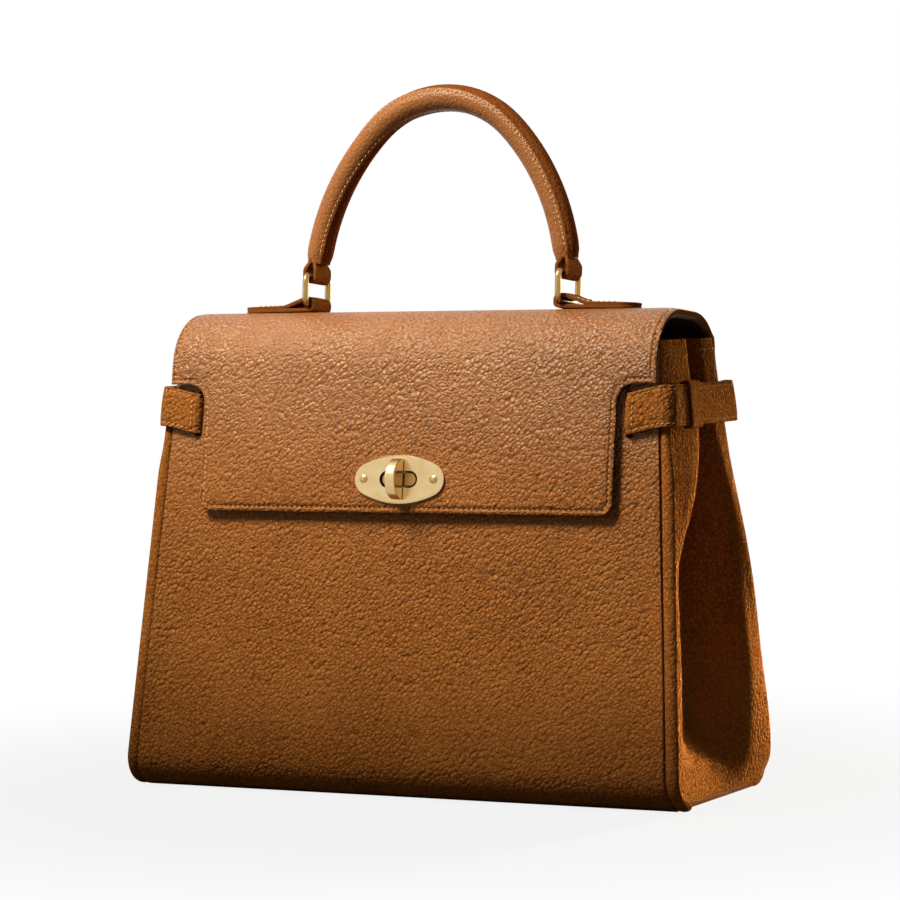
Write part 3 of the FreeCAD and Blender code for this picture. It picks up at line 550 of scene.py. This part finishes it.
def flapHalf(length):    # how far the outermost kept column lies from the middle
    if length < foldAt:
        back = halfWide(flapRoute.at(length).y)
        return back + (flap["halfUpper"] - back) * smooth(foldAt - flap["widen"], foldAt, length)
    if length <= notchAt:
        return flap["halfUpper"]
    fall = (length - notchAt) / leanStretch
    bend, tip = flap["notchBend"], flap["tipBend"]
    if fall < bend:
        return flap["halfNotch"] - sqrt(bend ** 2 - (bend - fall) ** 2)
    rise = (flapRoute.total - length) / leanStretch
    if rise < tip:
        return flap["halfLower"] - tip + sqrt(max(tip ** 2 - (tip - rise) ** 2, 0.0))
    return flap["halfLower"]


def flapSpot(column, length):
    scale = flapHalf(length) / (flap["halfUpper"] if length <= notchAt else flap["halfNotch"])
    if length > notchAt and abs(column) > flap["halfNotch"]:
        scale = 1.0
    return flapSurface(column * scale, length)[0]


backSlotLow, backSlotHigh = [backUp(z) for z in near(front["slotZ"], front["slotTall"])]
slotScale = flap["halfUpper"] / halfWide(front["slotZ"])
slotNear, slotFar = [x * slotScale for x in near(front["slotX"], front["slotWide"])]
upperEdge, notchEdge = [[flap[half] - step for step in flap["edgeSteps"]]
                        for half in ("halfUpper", "halfNotch")]
inner = spread([notchEdge[-1], slotNear, flap["slotLong"], 0.0], flap["step"])
halfAcross = set(round(x, 6) for x in upperEdge + [slotFar] + notchEdge + inner)
flapAcross = mirrored(sorted(halfAcross, reverse=True))[::-1]
notchRows = [notchAt - rise for rise in flap["aboveNotch"]]
notchRows += [notchAt + fall * leanStretch for fall in flap["belowNotch"]]
tipRows = [flapRoute.total - rise * leanStretch for rise in flap["aboveTip"]]
flapAlong = spread([0.0, *near(flapRoute.middles[0], bag["bendReach"]), backSlotLow, backSlotHigh, foldAt,
                    notchRows[0]], flap["step"]) + notchRows[1:]
flapAlong += spread([notchRows[-1], *near(lockAt, flap["slotTall"]), tipRows[0]], flap["step"])[1:]
flapAlong += tipRows[1:]


def flapKeep(column, length):
    if length > notchAt and abs(column) > flap["halfNotch"]:
        return False
    if abs(column) < flap["slotLong"] and abs(length - lockAt) < flap["slotTall"]:
        return False
    return not (slotNear < abs(column) < slotFar and backSlotLow < length < backSlotHigh)


flapLeather = makePiece(mappedSheet(flapAcross, flapAlong, flapSpot, flapKeep), "backAndFlap",
                        [leather, lining, edgePaint], None, ["back_panel", "flap", "flap_lining"])
thicken(flapLeather, flap, True)
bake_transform(flapLeather)
print("back leather and flap made")


# lining: one shell inside the bag

shell = {"deep": 0.0050, "top": 0.223, "inset": 0.003, "bend": 0.011, "bendReach": 0.01, "wall": 0.0008,
         "step": 0.009, "across": 0.07}
liningTop, liningFoot = [-faceY(shell[z], -shell["deep"]) for z in ("top", "deep")]
liningRoute = Route([(liningTop, shell["top"]), (liningFoot, shell["deep"]),
                     (-liningFoot, shell["deep"]), (-liningTop, shell["top"])],
                    [shell["bend"], shell["bend"]])
liningBends = [length for middle in liningRoute.middles for length in near(middle, shell["bendReach"])]
liningAlong = spread([0.0, *liningBends, liningRoute.total], shell["step"])


def liningSpot(share, length):
    spot = liningRoute.at(length)
    return Vector((share * (halfWide(spot.y) - shell["inset"]), spot.x, spot.y))


liningPiece = makePiece(mappedSheet(spread([-1.0, 1.0], shell["across"]), liningAlong, liningSpot),
                        "liningShell", [lining], "bag_body",
                        ["lining_front", "lining_back", "lining_base"])
thicken(liningPiece, shell)
print("lining made")


# gussets: a front and a back leaf with a pleat folded in between them

gusset = {
    "low": 0.0027, "top": 0.2290, "wall": 0.0018, "edge": 0.0005, "clear": 0.0013, "sewn": 0.0003,
    "pleat": 0.034, "leastPleat": 0.004, "bulge": 0.005, "leastBulge": 0.01, "leastBack": 0.02,
    "ridge": 0.85, "crest": 1.1, "puff": 0.18, "bends": (0.25, 0.7, 0.7, 0.7, 0.95), "leastBend": 0.0003,
    "rows": 56, "legs": 6, "perLeg": 8, "bendSteps": 8,
    "soft": 0.0005, "softUp": 60, "softAcross": 4, "softRise": (0.03, 0.08), "softEnds": (0.2, 5.8),
}
gussetShares = [    # height, front leaf, its bulge, back leaf, its bulge, valley, pleat
    (0.00, 0.40, 0.00, 0.50, 0.3, 0.30, 0.00), (0.03, 0.40, 0.00, 0.52, 1.0, 0.30, 0.00),
    (0.07, 0.40, 0.00, 0.56, 1.6, 0.35, 0.03), (0.12, 0.36, 0.00, 0.60, 1.9, 0.45, 0.22),
    (0.21, 0.38, 0.00, 0.58, 2.0, 0.50, 0.42), (0.40, 0.40, 0.05, 0.44, 1.9, 0.45, 0.62),
    (0.52, 0.42, 0.30, 0.40, 1.7, 0.35, 0.75), (0.66, 0.80, 0.90, 0.42, 1.3, 0.25, 0.88),
    (0.80, 1.10, 0.78, 0.56, 0.9, 0.20, 1.00), (0.92, 0.98, 0.74, 0.62, 0.6, 0.20, 1.00),
    (1.00, 0.95, 0.65, 0.66, 0.5, 0.20, 1.00),
]


def gussetRow(share):    # the table read between its rows, without kinks
    index = min(max(sum(row[0] <= share for row in gussetShares) - 1, 0), len(gussetShares) - 2)
    a, b = gussetShares[index], gussetShares[index + 1]
    before = gussetShares[max(index - 1, 0)]
    after = gussetShares[min(index + 2, len(gussetShares) - 1)]
    span = b[0] - a[0]
    t = (share - a[0]) / span
    values = []
    for column in range(1, len(a)):
        slopeA = (b[column] - before[column]) / (b[0] - before[0])
        slopeB = (after[column] - a[column]) / (after[0] - a[0])
        values.append((2 * t ** 3 - 3 * t ** 2 + 1) * a[column] + (t ** 3 - 2 * t ** 2 + t) * span * slopeA
                      + (3 * t ** 2 - 2 * t ** 3) * b[column] + (t ** 3 - t ** 2) * span * slopeB)
    return values


def innerDeep(z):    # from the middle to the inside of the front leather
    turn, wall = bag["footBend"], front["wall"]
    middle = bag["deepBase"] - turn * (lean + leanStretch)
    bend, drop = turn - wall, turn - z
    if drop > bend * lean:
        return middle + sqrt(max(bend ** 2 - drop ** 2, 0.0))
    return faceY(z, -wall)


def roomBend(before, corner, after, share):    # the radius that takes this share of the shorter run
    back, ahead = Vector(before) - Vector(corner), Vector(after) - Vector(corner)
    half = back.angle(ahead) / 2
    return max(share * 0.5 * min(back.length, ahead.length) * tan(half), gusset["leastBend"])


def gussetSection(share):
    look = gusset
    leaf, bulge, backLeaf, backBulge, valley, pleat = gussetRow(share)
    z = look["low"] + share * (look["top"] - look["low"])
    face = halfWide(z) - look["sewn"]
    deep = innerDeep(z) - look["clear"]
    dip = face - max(pleat, look["leastPleat"]) * look["pleat"]
    ridge, backRidge = -deep * (1 - leaf), deep * (1 - backLeaf)
    middle, reach = (ridge + backRidge) / 2, (backRidge - ridge) * valley / 2
    puffed = max(backBulge, look["leastBack"]) * look["bulge"]
    corners = [(face, -deep), (face + max(bulge, look["leastBulge"]) * look["bulge"], ridge),
               (dip, middle - reach), (dip, middle + reach), (face + puffed * look["ridge"], backRidge),
               (face + puffed * look["crest"], deep * (1 - backLeaf * look["puff"])), (face, deep)]
    bends = [roomBend(*corners[i:i + 3], bend) for i, bend in enumerate(look["bends"])]
    return z, Route(corners, bends, look["bendSteps"])


gussetSections = {}


def gussetSpot(side):
    def put(column, share):
        if share not in gussetSections:
            gussetSections[share] = gussetSection(share)
        z, route = gussetSections[share]
        marks = [0.0] + route.middles + [route.total]
        leg = min(int(column), len(marks) - 2)
        spot = route.at(marks[leg] + (column - leg) * (marks[leg + 1] - marks[leg]))
        soft = 0.0
        first, last = gusset["softEnds"]
        if first < column < last:
            soft = gusset["soft"] * sin(gusset["softUp"] * z + gusset["softAcross"] * column)
            soft *= smooth(*gusset["softRise"], z)
        return Vector((side * (spot.x + soft), spot.y, z))
    return put


gussetColumns = evenly(0, gusset["legs"], gusset["legs"] * gusset["perLeg"])
gussetRows = evenly(0, 1, gusset["rows"])
makePair("gusset", "gusset", "bag_body", [sideLeather, lining, edgePaint], gusset,
         lambda side: mappedSheet(gussetColumns[::side], gussetRows, gussetSpot(side)), True)
print("gussets made")


# piping: a covered cord along each side of the front panel, from under its foot up to the strap

piping = {"radius": 0.0026, "wider": 0.0008, "slim": (0.160, 0.182), "gap": 0.0002, "top": 0.199,
          "ring": 16, "step": 0.006, "bendReach": 0.01, "bendStep": 0.002}
pipingLow = piping["radius"] + piping["gap"]
pipingBend = bag["footBend"] - piping["radius"]
pipingFoot = faceY(pipingLow + pipingBend, -piping["radius"]) - pipingBend * leanStretch
pipingRoute = Route([(-faceY(piping["top"], -piping["radius"]), piping["top"]),
                     (-faceY(pipingLow, -piping["radius"]), pipingLow), (-pipingFoot, pipingLow)],
                    [pipingBend])
pipingAlong = runs(0.0, (pipingRoute.middles[0] - piping["bendReach"], piping["step"]),
                   (pipingRoute.total, piping["bendStep"]))


def pipingSpot(side):
    def put(turn, length):
        spot = pipingRoute.at(length)
        wide = piping["radius"] + piping["wider"] * (1 - smooth(*piping["slim"], spot.y))
        x = halfWide(spot.y) + piping["gap"] + wide * (1 + cos(turn))
        spot = spot + pipingRoute.outward(length) * piping["radius"] * sin(turn)
        return Vector((side * x, spot.x, spot.y))
    return put


makePair("piping", "piping", "bag_body", [trimLeather], piping,
         lambda side: tube(evenly(0, side * 2 * pi, piping["ring"]), pipingAlong, pipingSpot(side)))
print("piping made")


# side straps: in through a slot at the front, round the end of the bag and in again at the back

strap = {
    "half": 0.01025, "wall": 0.0026, "edge": 0.0006, "level": 0.197, "drop": 0.004, "stand": 0.0006,
    "slot": 0.122, "tuck": 0.003, "slotBend": 0.0019, "cornerBend": 0.005, "slotReach": 0.0017,
    "cornerReach": 0.004, "steps": (0.0008, 0.0008, 0.004, 0.001, 0.005, 0.001, 0.004, 0.0008, 0.0008),
    "rises": (0.01025, 0.0095, 0.0088, 0.00825, 0.0077, 0.007, 0.0045, 0.0015),
    "puff": 0.0004, "seam": 0.0020, "groove": (0.0003, 0.0007),
}
strapStand = strap["stand"] + strap["wall"] / 2
strapEnd = halfWide(strap["level"]) + 2 * piping["radius"] + piping["gap"] + strapStand
strapOut = faceY(strap["level"], strapStand)
strapIn = faceY(strap["level"], -strap["tuck"])
strapHalf = [(strap["slot"], strapIn), (strap["slot"], strapOut), (strapEnd, strapOut)]
strapBends = [strap["slotBend"], strap["cornerBend"]]
strapRoute = Route([(x, -y) for x, y in strapHalf] + strapHalf[::-1], strapBends + strapBends[::-1])


def strapSurface(side, rise, length, lift=0.0):    # position and outward normal
    spot, out = strapRoute.at(length), strapRoute.outward(length)
    flat = strapEnd - strap["cornerBend"]
    fall = min(max((flat - spot.x) / (flat - strap["slot"]), 0.0), 1.0)
    z = strap["level"] - strap["drop"] * fall + rise
    lift += strap["puff"] * (1 - (rise / strap["half"]) ** 2)
    lift -= hump(strap["half"] - abs(rise), *strap["groove"], strap["seam"])
    spot = spot + out * lift
    up = z - strap["level"]
    x = spot.x - flare * up * smooth(strap["slot"], flat, spot.x)
    y = spot.y + (lean if spot.y < 0 else -lean) * up * min(abs(spot.y) / strapIn, 1.0)
    return Vector((side * x, y, z)), Vector((side * out.x, out.y, 0.0))


strapRises = mirrored(strap["rises"])
strapMarks = strapRoute.middles
strapReaches = ("slotReach", "cornerReach", "cornerReach", "slotReach")
strapStops = [stop for mark, reach in zip(strapMarks, strapReaches) for stop in near(mark, strap[reach])]
strapAlong = runs(0.0, *zip(strapStops + [strapRoute.total], strap["steps"]))
strapFinishes = [sideLeather, sideLeather, edgePaint]
makePair("strap", "side_strap", "bag_body", strapFinishes, strap,
         lambda side: mappedSheet(strapRises[::-side], strapAlong, onSide(side, strapSurface)))
print("straps made")


# keepers: a thin loop round each strap

keeper = {"wide": 0.014, "wall": 0.0014, "edge": 0.0004, "fit": 0.0003, "front": 0.015, "bend": 0.0016,
          "bendSteps": 6, "step": 0.0016, "insets": (0.0, 0.0012, 0.0030)}
keeperThick = strap["wall"] / 2 + keeper["fit"] + keeper["wall"] / 2
keeperTall = strap["half"] + keeper["fit"] + keeper["wall"] / 2
keeperRoute = Route([(0.0, -keeperTall), (keeperThick, -keeperTall), (keeperThick, keeperTall),
                     (-keeperThick, keeperTall), (-keeperThick, -keeperTall), (0.0, -keeperTall)],
                    [keeper["bend"]] * 4, keeper["bendSteps"])
keeperAlong = spread([0.0] + keeperRoute.middles + [keeperRoute.total], keeper["step"])
keeperColumns = mirrored([keeper["wide"] / 2 - inset for inset in keeper["insets"]] + [0.0])


def keeperSpot(side):
    outward = Vector((side, 0.0, flare)).normalized()
    upward = Vector((-side * flare, 0.0, 1.0)).normalized()
    middle = Vector((side * strapEnd, -keeper["front"], strap["level"]))

    def put(across, length):
        spot = keeperRoute.at(length)
        return middle + outward * spot.x + upward * spot.y + Vector((0.0, across, 0.0))
    return put


makePair("keeper", "strap_keeper", "bag_body", strapFinishes, keeper,
         lambda side: weld(mappedSheet(keeperColumns[::side], keeperAlong, keeperSpot(side))))
print("keepers made")


# chapes, handle and tabs stand in a frame on the crown, which leans back

crownTilt = atan2(bag["crownFall"], 1.0)
crownOrigin = Vector((0.0, bag["handleY"], bag["crownHigh"]))
crownBack = Vector((0.0, cos(crownTilt), -sin(crownTilt)))
crownUp = Vector((0.0, sin(crownTilt), cos(crownTilt)))


def onCrown(x, y, z):
    return crownOrigin + Vector((x, 0.0, 0.0)) + crownBack * y + crownUp * z


chape = {
    "span": 0.0725, "bar": 0.0044, "loop": 0.00285, "underIn": 0.0008, "backIn": 0.00286, "backLow": 0.0028,
    "overOut": 0.0020, "wall": 0.0017, "edge": 0.0004, "half": 0.0093, "tip": 0.112, "tipBend": 0.008,
    "under": 0.00095, "ply": 0.0027, "tipPly": 0.0022, "fold": 0.014, "puff": 0.0003,
    "bends": (0.0010, 0.0017, 0.0026, 0.0040, 0.0100), "bendSteps": 8,
    "tipSteps": (0.0, 0.0003, 0.0010, 0.0022, 0.0040, 0.0060, 0.0080), "underStep": 0.004,
    "loopStep": 0.0008, "topStep": 0.003, "loopStart": 0.002, "loopStop": 0.004,
    "shares": (1.0, 0.94, 0.82, 0.76, 0.5, 0.2),
}
barX, barZ = chape["span"], chape["bar"]
chapeRoute = Route([(chape["tip"], chape["under"]),
                    (barX - chape["underIn"], barZ - chape["loop"]),
                    (barX - chape["backIn"], barZ - chape["backLow"]),
                    (barX - chape["backIn"], barZ + chape["loop"]),
                    (barX + chape["overOut"], barZ + chape["loop"]),
                    (barX + chape["fold"], chape["ply"]), (chape["tip"], chape["tipPly"])],
                   chape["bends"], chape["bendSteps"])


def chapeHalf(x):    # half the width, less round the tip
    bend = chape["tipBend"]
    past = x - (chape["tip"] - bend)
    if past <= 0:
        return chape["half"]
    return chape["half"] - bend + sqrt(max(bend ** 2 - past ** 2, 0.0))


def chapeSurface(side, share, length):    # position and outward normal
    spot, out = chapeRoute.at(length), -chapeRoute.outward(length)
    y = share * chapeHalf(spot.x)
    spot = spot + out * chape["puff"] * (1 - share ** 2)
    return onCrown(side * spot.x, y, spot.y), crownUp * out.y + Vector((side * out.x, 0.0, 0.0))


tipSteps = list(chape["tipSteps"])
chapeAlong = tipSteps[:-1] + runs(
    tipSteps[-1], (chapeRoute.middles[0] - chape["loopStart"], chape["underStep"]),
    (chapeRoute.middles[3] + chape["loopStop"], chape["loopStep"]),
    (chapeRoute.total - tipSteps[-1], chape["topStep"]))
chapeAlong += [chapeRoute.total - step for step in tipSteps[-2::-1]]
trimFinishes = [trimLeather, trimLeather, edgePaint]
makePair("chape", "chape", "flap", trimFinishes, chape,
         lambda side: mappedSheet(mirrored(chape["shares"])[::side], chapeAlong, onSide(side, chapeSurface)))

roll = {
    "spring": 0.0115, "sideRadius": 0.118, "sideShift": 0.0455, "topRadius": 0.0540, "apex": 0.1105,
    "meetX": 0.03839, "meetZ": 0.09447, "end": 0.026, "sideSteps": 24, "topSteps": 30,
    "radius": 0.0069, "ring": 40, "frontColumns": 8, "step": 0.0035, "facing": (-0.6, 0.75, -0.5),
    "ridge": (0.0004, 0.07), "groove": (0.0003, 0.10, 0.2),
    "seamFade": 0.004, "close": 0.16, "closeFade": 0.006,
    "endSteps": (0.0, 0.0004, 0.0012, 0.0026), "endReach": 0.0044,
}
rollWrap = 2 * pi * roll["frontColumns"] / roll["ring"]
topCentre = Vector((0.0, roll["apex"] - roll["topRadius"]))
sideCentre = Vector((-roll["sideShift"], roll["spring"]))
meetTurn = atan2(roll["meetZ"] - sideCentre.y, roll["meetX"] - sideCentre.x)
lowTurn = asin((roll["end"] - roll["spring"]) / roll["sideRadius"])


def arcPoints(centre, radius, first, last, steps):
    return [centre + radius * Vector((cos(turn), sin(turn))) for turn in evenly(first, last, steps)]


rightLeg = arcPoints(sideCentre, roll["sideRadius"], lowTurn, meetTurn, roll["sideSteps"])
topArc = arcPoints(topCentre, roll["topRadius"], meetTurn, pi - meetTurn, roll["topSteps"])
leftLeg = [Vector((-spot.x, spot.y)) for spot in reversed(rightLeg)]
handleRoute = Route(rightLeg + topArc[1:] + leftLeg[1:])


def handleSurface(around, length):    # around is 0 in the middle of the front leather
    spot, out = handleRoute.at(length), handleRoute.outward(length)
    aside, ahead, rise = roll["facing"]
    turn = around + atan2(out.x * aside + out.y * rise, ahead)    # that middle turns to the photo's side
    seamGap = abs(abs(around if around <= pi else around - 2 * pi) - rollWrap)
    ridge = hump(seamGap, *roll["ridge"]) - hump(seamGap, *roll["groove"])
    ends = min(length, handleRoute.total - length)
    close = 1 - roll["close"] * (1 - smooth(0.0, roll["closeFade"], ends))
    radius = (roll["radius"] + ridge * smooth(0.0, roll["seamFade"], ends)) * close
    spot = spot + out * radius * sin(turn)
    normal = Vector((out.x * sin(turn), 0.0, 0.0)) - crownBack * cos(turn) + crownUp * (out.y * sin(turn))
    return onCrown(spot.x, -radius * cos(turn), spot.y), normal


def handleSpot(around, length):
    return handleSurface(around, length)[0]


def handlePaint(around, length):    # painted shade: behind the two seams the roll takes a darker, matte copy of the handle leather
    return 1 if rollWrap < around < 2 * pi - rollWrap else 0


turns = evenly(0, 2 * pi, roll["ring"])
along = list(roll["endSteps"])
along += spread([roll["endReach"], handleRoute.total - roll["endReach"]], roll["step"])
along += [handleRoute.total - step for step in reversed(roll["endSteps"])]
makePiece(tube(turns[::-1], along, handleSpot, handlePaint), "handleRoll",
          [handleLeather, handleBack], "handle",
          ["handle_front_leather", "handle_back_leather", "handle_core"])

tab = {
    "bar": 0.0194, "loop": 0.0031, "loopTop": 0.003, "shoulder": 0.007, "wall": 0.0019, "edge": 0.0004,
    "half": 0.0080, "stemHalf": 0.0058, "narrow": (0.0225, 0.0275), "top": 0.040, "gather": 0.0014,
    "bends": (0.004, 0.002, 0.0029, 0.0029, 0.002, 0.004), "bendSteps": 8, "step": 0.0009,
    "shares": (1.0, 0.94, 0.8, 0.4, 0.0),
}


def legX(z):    # the middle of the handle's leg at a height
    return sqrt(roll["sideRadius"] ** 2 - (z - roll["spring"]) ** 2) - roll["sideShift"]


tabHalf = [(legX(tab["top"]), tab["gather"], tab["top"]),
           (barX, tab["gather"], tab["bar"] + tab["shoulder"]),
           (barX, tab["loop"], tab["bar"] + tab["loopTop"]),
           (barX, tab["loop"], tab["bar"] - tab["loop"])]
tabRoute = Route([(x - out, z) for x, out, z in tabHalf] + [(x + out, z) for x, out, z in reversed(tabHalf)],
                 tab["bends"], tab["bendSteps"])


def tabSpot(side):
    def put(share, length):
        spot = tabRoute.at(length)
        slim = smooth(*tab["narrow"], spot.y)
        half = tab["half"] + (tab["stemHalf"] - tab["half"]) * slim
        return onCrown(side * spot.x, share * half, spot.y)
    return put


tabAlong = spread([0.0, tabRoute.total], tab["step"])
makePair("handleTab", "handle_tab", "handle", trimFinishes, tab,
         lambda side: mappedSheet(mirrored(tab["shares"])[::-side], tabAlong, tabSpot(side)))
print("chapes, handle and tabs made")


# stitches: small waxed threads laid in rows

stitch = {
    "long": 0.0019, "wide": 0.00075, "tall": 0.0011, "pitch": 0.0028, "slant": radians(9), "round": 6,
    "rings": 4, "flapTop": 0.016, "flapCorner": 0.002, "strapEnd": 0.004, "strapCross": 0.0012,
    "crossInset": 0.003, "chapeStart": 0.006, "chapeStop": 0.009, "chapeShare": 0.79,
    "gussetRuns": ((0.12, 0.95), (4.05, 5.8)), "gussetShare": 0.975, "gussetNear": 0.01,
    "handleEnd": 0.005, "handleGap": 0.16, "flapCount": 600, "strapCount": 160, "crossCount": 20,
    "chapeCount": 60, "gussetCount": 30, "handleCount": 240,
}


def sampled(surface, first, last, count):    # positions and normals at even steps of a measure
    return [surface(value) for value in evenly(first, last, count)]


def evenSpots(line, pitch):    # position, heading and normal at even steps along a line of points
    lengths = [0.0]
    for a, b in zip(line, line[1:]):
        lengths.append(lengths[-1] + (b[0] - a[0]).length)
    count = max(1, round(lengths[-1] / pitch))
    spots = []
    for i in range(count):
        length = lengths[-1] * (i + 0.5) / count
        index = min(bisect_right(lengths, length) - 1, len(line) - 2)
        (a, normalA), (b, normalB) = line[index], line[index + 1]
        share = (length - lengths[index]) / max(lengths[index + 1] - lengths[index], making["tiny"])
        spots.append((a.lerp(b, share), (b - a).normalized(), normalA.lerp(normalB, share).normalized()))
    return spots


def sewn(name, body, lines):
    shape = bmesh.new()
    size = Matrix.Diagonal((stitch["wide"] / 2, stitch["tall"] / 2, stitch["long"] / 2, 1.0))
    for line in lines:
        for position, heading, normal in evenSpots(line, stitch["pitch"]):
            across = normal.cross(heading).normalized()
            turn = Matrix((across, normal, heading)).transposed().to_4x4()
            turn = Matrix.Rotation(stitch["slant"], 4, normal) @ turn
            bmesh.ops.create_uvsphere(shape, u_segments=stitch["round"], v_segments=stitch["rings"],
                                      radius=1.0, matrix=Matrix.Translation(position) @ turn @ size)
    makePiece(shape, name, [thread], body)


inset = flap["seam"]
sewHalf = [(flap["halfUpper"] - inset, foldAt + stitch["flapTop"]),
           (flap["halfUpper"] - inset, notchAt - inset), (flap["halfLower"] - inset, notchAt - inset),
           (flap["halfLower"] - inset, flapRoute.total - inset)]
sewBends = [stitch["flapCorner"], flap["notchBend"] + inset, flap["tipBend"] - inset]
sewRoute = Route(sewHalf + [(-x, length) for x, length in reversed(sewHalf)], sewBends + sewBends[::-1])
flapLine = sampled(lambda length: flapSurface(*sewRoute.at(length)), 0.0, sewRoute.total,
                   stitch["flapCount"])
sewn("flapStitches", "flap", [flapLine])


def chapeTop(side, share, length):
    spot, normal = chapeSurface(side, share, length)
    return spot + normal * chape["wall"] / 2, normal


def gussetTop(side, column):
    put, share = gussetSpot(side), stitch["gussetShare"]
    spot = put(column, share)
    ahead = put(column + stitch["gussetNear"], share) - spot
    return spot, Vector((ahead.y, -ahead.x, 0.0)).normalized() * side


for name, side in sides:
    skin = strap["wall"] / 2
    first, last = strapMarks[0] + stitch["strapEnd"], strapMarks[3] - stitch["strapEnd"]
    edge, cross = [strap["half"] - gap for gap in (strap["seam"], stitch["crossInset"])]
    lines = [sampled(lambda length: strapSurface(side, rise, length, skin), first, last,
                     stitch["strapCount"]) for rise in (-edge, edge)]
    lines += [sampled(lambda rise: strapSurface(side, rise, end, skin), -cross, cross, stitch["crossCount"])
              for end in (first - stitch["strapCross"], last + stitch["strapCross"])]
    sewn(f"strapStitches{name.title()}", "bag_body", lines)

    first, last = chapeRoute.middles[3] + stitch["chapeStart"], chapeRoute.total - stitch["chapeStop"]
    lines = [sampled(lambda length: chapeTop(side, share, length), first, last, stitch["chapeCount"])
             for share in (-stitch["chapeShare"], stitch["chapeShare"])]
    sewn(f"chapeStitches{name.title()}", "flap", lines)

    lines = [sampled(lambda column: gussetTop(side, column), *ends, stitch["gussetCount"])
             for ends in stitch["gussetRuns"]]
    sewn(f"gussetStitches{name.title()}", "bag_body", lines)

seamTurn = rollWrap - stitch["handleGap"]
lines = [sampled(lambda length: handleSurface(around, length), stitch["handleEnd"],
                 handleRoute.total - stitch["handleEnd"], stitch["handleCount"])
         for around in (seamTurn, 2 * pi - seamTurn)]
sewn("handleStitches", "handle", lines)
print("stitches sewn")


# metal and the hidden board keep their CAD shapes

cadFinishes = {
    gold: ("lock_plate", "turn_knob", "lock_plate_washer", "lock_backing"),
    aged: ("lock_base", "lock_plate_screws", "ring_left", "ring_right"),
    board: ("base_board",),
}
for finish, names in cadFinishes.items():
    for name in names:
        if name in bpy.data.objects:
            bpy.data.objects[name].data.materials.clear()
            bpy.data.objects[name].data.materials.append(finish.block)
print("metal finished")


# floor, light and camera

stage = {
    "floor": 3.0, "floorSides": 96, "grey": (0.12, 0.12, 0.12, 1.0), "rough": 0.9, "fade": (0.16, 0.5),
    "shadow": 0.14, "white": (1.0, 1.0, 1.0, 1.0), "warm": (1.0, 0.97, 0.93, 1.0), "warmth": 0.06,
}
floorFinish = Finish("paleFloor")
away = floorFinish.node("ShaderNodeVectorMath", {"operation": "LENGTH"}, {0: floorFinish.place()}, "Value")
fade = floorFinish.step(away, *stage["fade"], 1 - stage["shadow"], 1.0)
white = floorFinish.node("ShaderNodeEmission", {}, {"Color": stage["white"], "Strength": 1.0})
matte = floorFinish.shade(Base_Color=stage["grey"], Roughness=stage["rough"])
floorFinish.blend(fade * floorFinish.seen(), matte, white)
shape = bmesh.new()
bmesh.ops.create_circle(shape, cap_ends=True, segments=stage["floorSides"], radius=stage["floor"])
addObject(shape, "floor", [floorFinish])

studio = Finish("studio", bpy.data.worlds)
plain = studio.node("ShaderNodeBackground", {}, {"Color": stage["white"], "Strength": 1.0})
warm = studio.shade(Color=stage["warm"], Strength=stage["warmth"])
studio.blend(studio.seen(), warm, plain)
bpy.context.scene.world = studio.block

lamps = {
    "key": {"at": (-0.33, -0.55, 1.00), "aim": (0.0, -0.03, 0.17), "wide": 0.34, "power": 2.25, "spread": 56,
            "tint": (1.0, 0.96, 0.90)},
    "fill": {"at": (-1.10, -0.75, 0.45), "aim": (0.0, 0.0, 0.16), "wide": 0.6, "power": 1.6, "spread": 180,
             "tint": (1.0, 0.95, 0.88)},
    "rim": {"at": (0.45, 1.15, 0.45), "aim": (0.1, 0.0, 0.12), "wide": 0.4, "power": 11.5, "spread": 180,
            "tint": (1.0, 0.88, 0.70)},
    "low": {"at": (0.38, 1.00, 0.12), "aim": (0.155, 0.045, 0.05), "wide": 0.2, "power": 0.85, "spread": 16,
            "tint": (1.0, 0.88, 0.66)},
}
for name, look in lamps.items():
    light = bpy.data.lights.new(name, "AREA")
    light.size = look["wide"]
    light.energy = look["power"]
    light.color = look["tint"]
    light.spread = radians(look["spread"])
    lamp = bpy.data.objects.new(name, light)
    lamp.location = look["at"]
    lamp.rotation_euler = (Vector(look["aim"]) - Vector(look["at"])).to_track_quat("-Z", "Y").to_euler()
    bpy.context.scene.collection.objects.link(lamp)

cameraLook = {"lens": 144.0, "sensor": 36.0, "at": (0.8435, -1.6486, 0.2565),
              "right": (0.8911, 0.4534, -0.0171), "ahead": (-0.4537, 0.89, -0.0451)}
ahead = Vector(cameraLook["ahead"]).normalized()
right = Vector(cameraLook["right"])
right = (right - ahead * right.dot(ahead)).normalized()
up = right.cross(ahead)
view = bpy.data.cameras.new("photoView")
view.lens = cameraLook["lens"]
view.sensor_width = cameraLook["sensor"]
camera = bpy.data.objects.new("photoView", view)
camera.matrix_world = Matrix.Translation(cameraLook["at"]) @ Matrix((right, up, -ahead)).transposed().to_4x4()
bpy.context.scene.collection.objects.link(camera)
bpy.context.scene.camera = camera
bpy.context.scene.view_settings.view_transform = "Standard"
print("stage set")
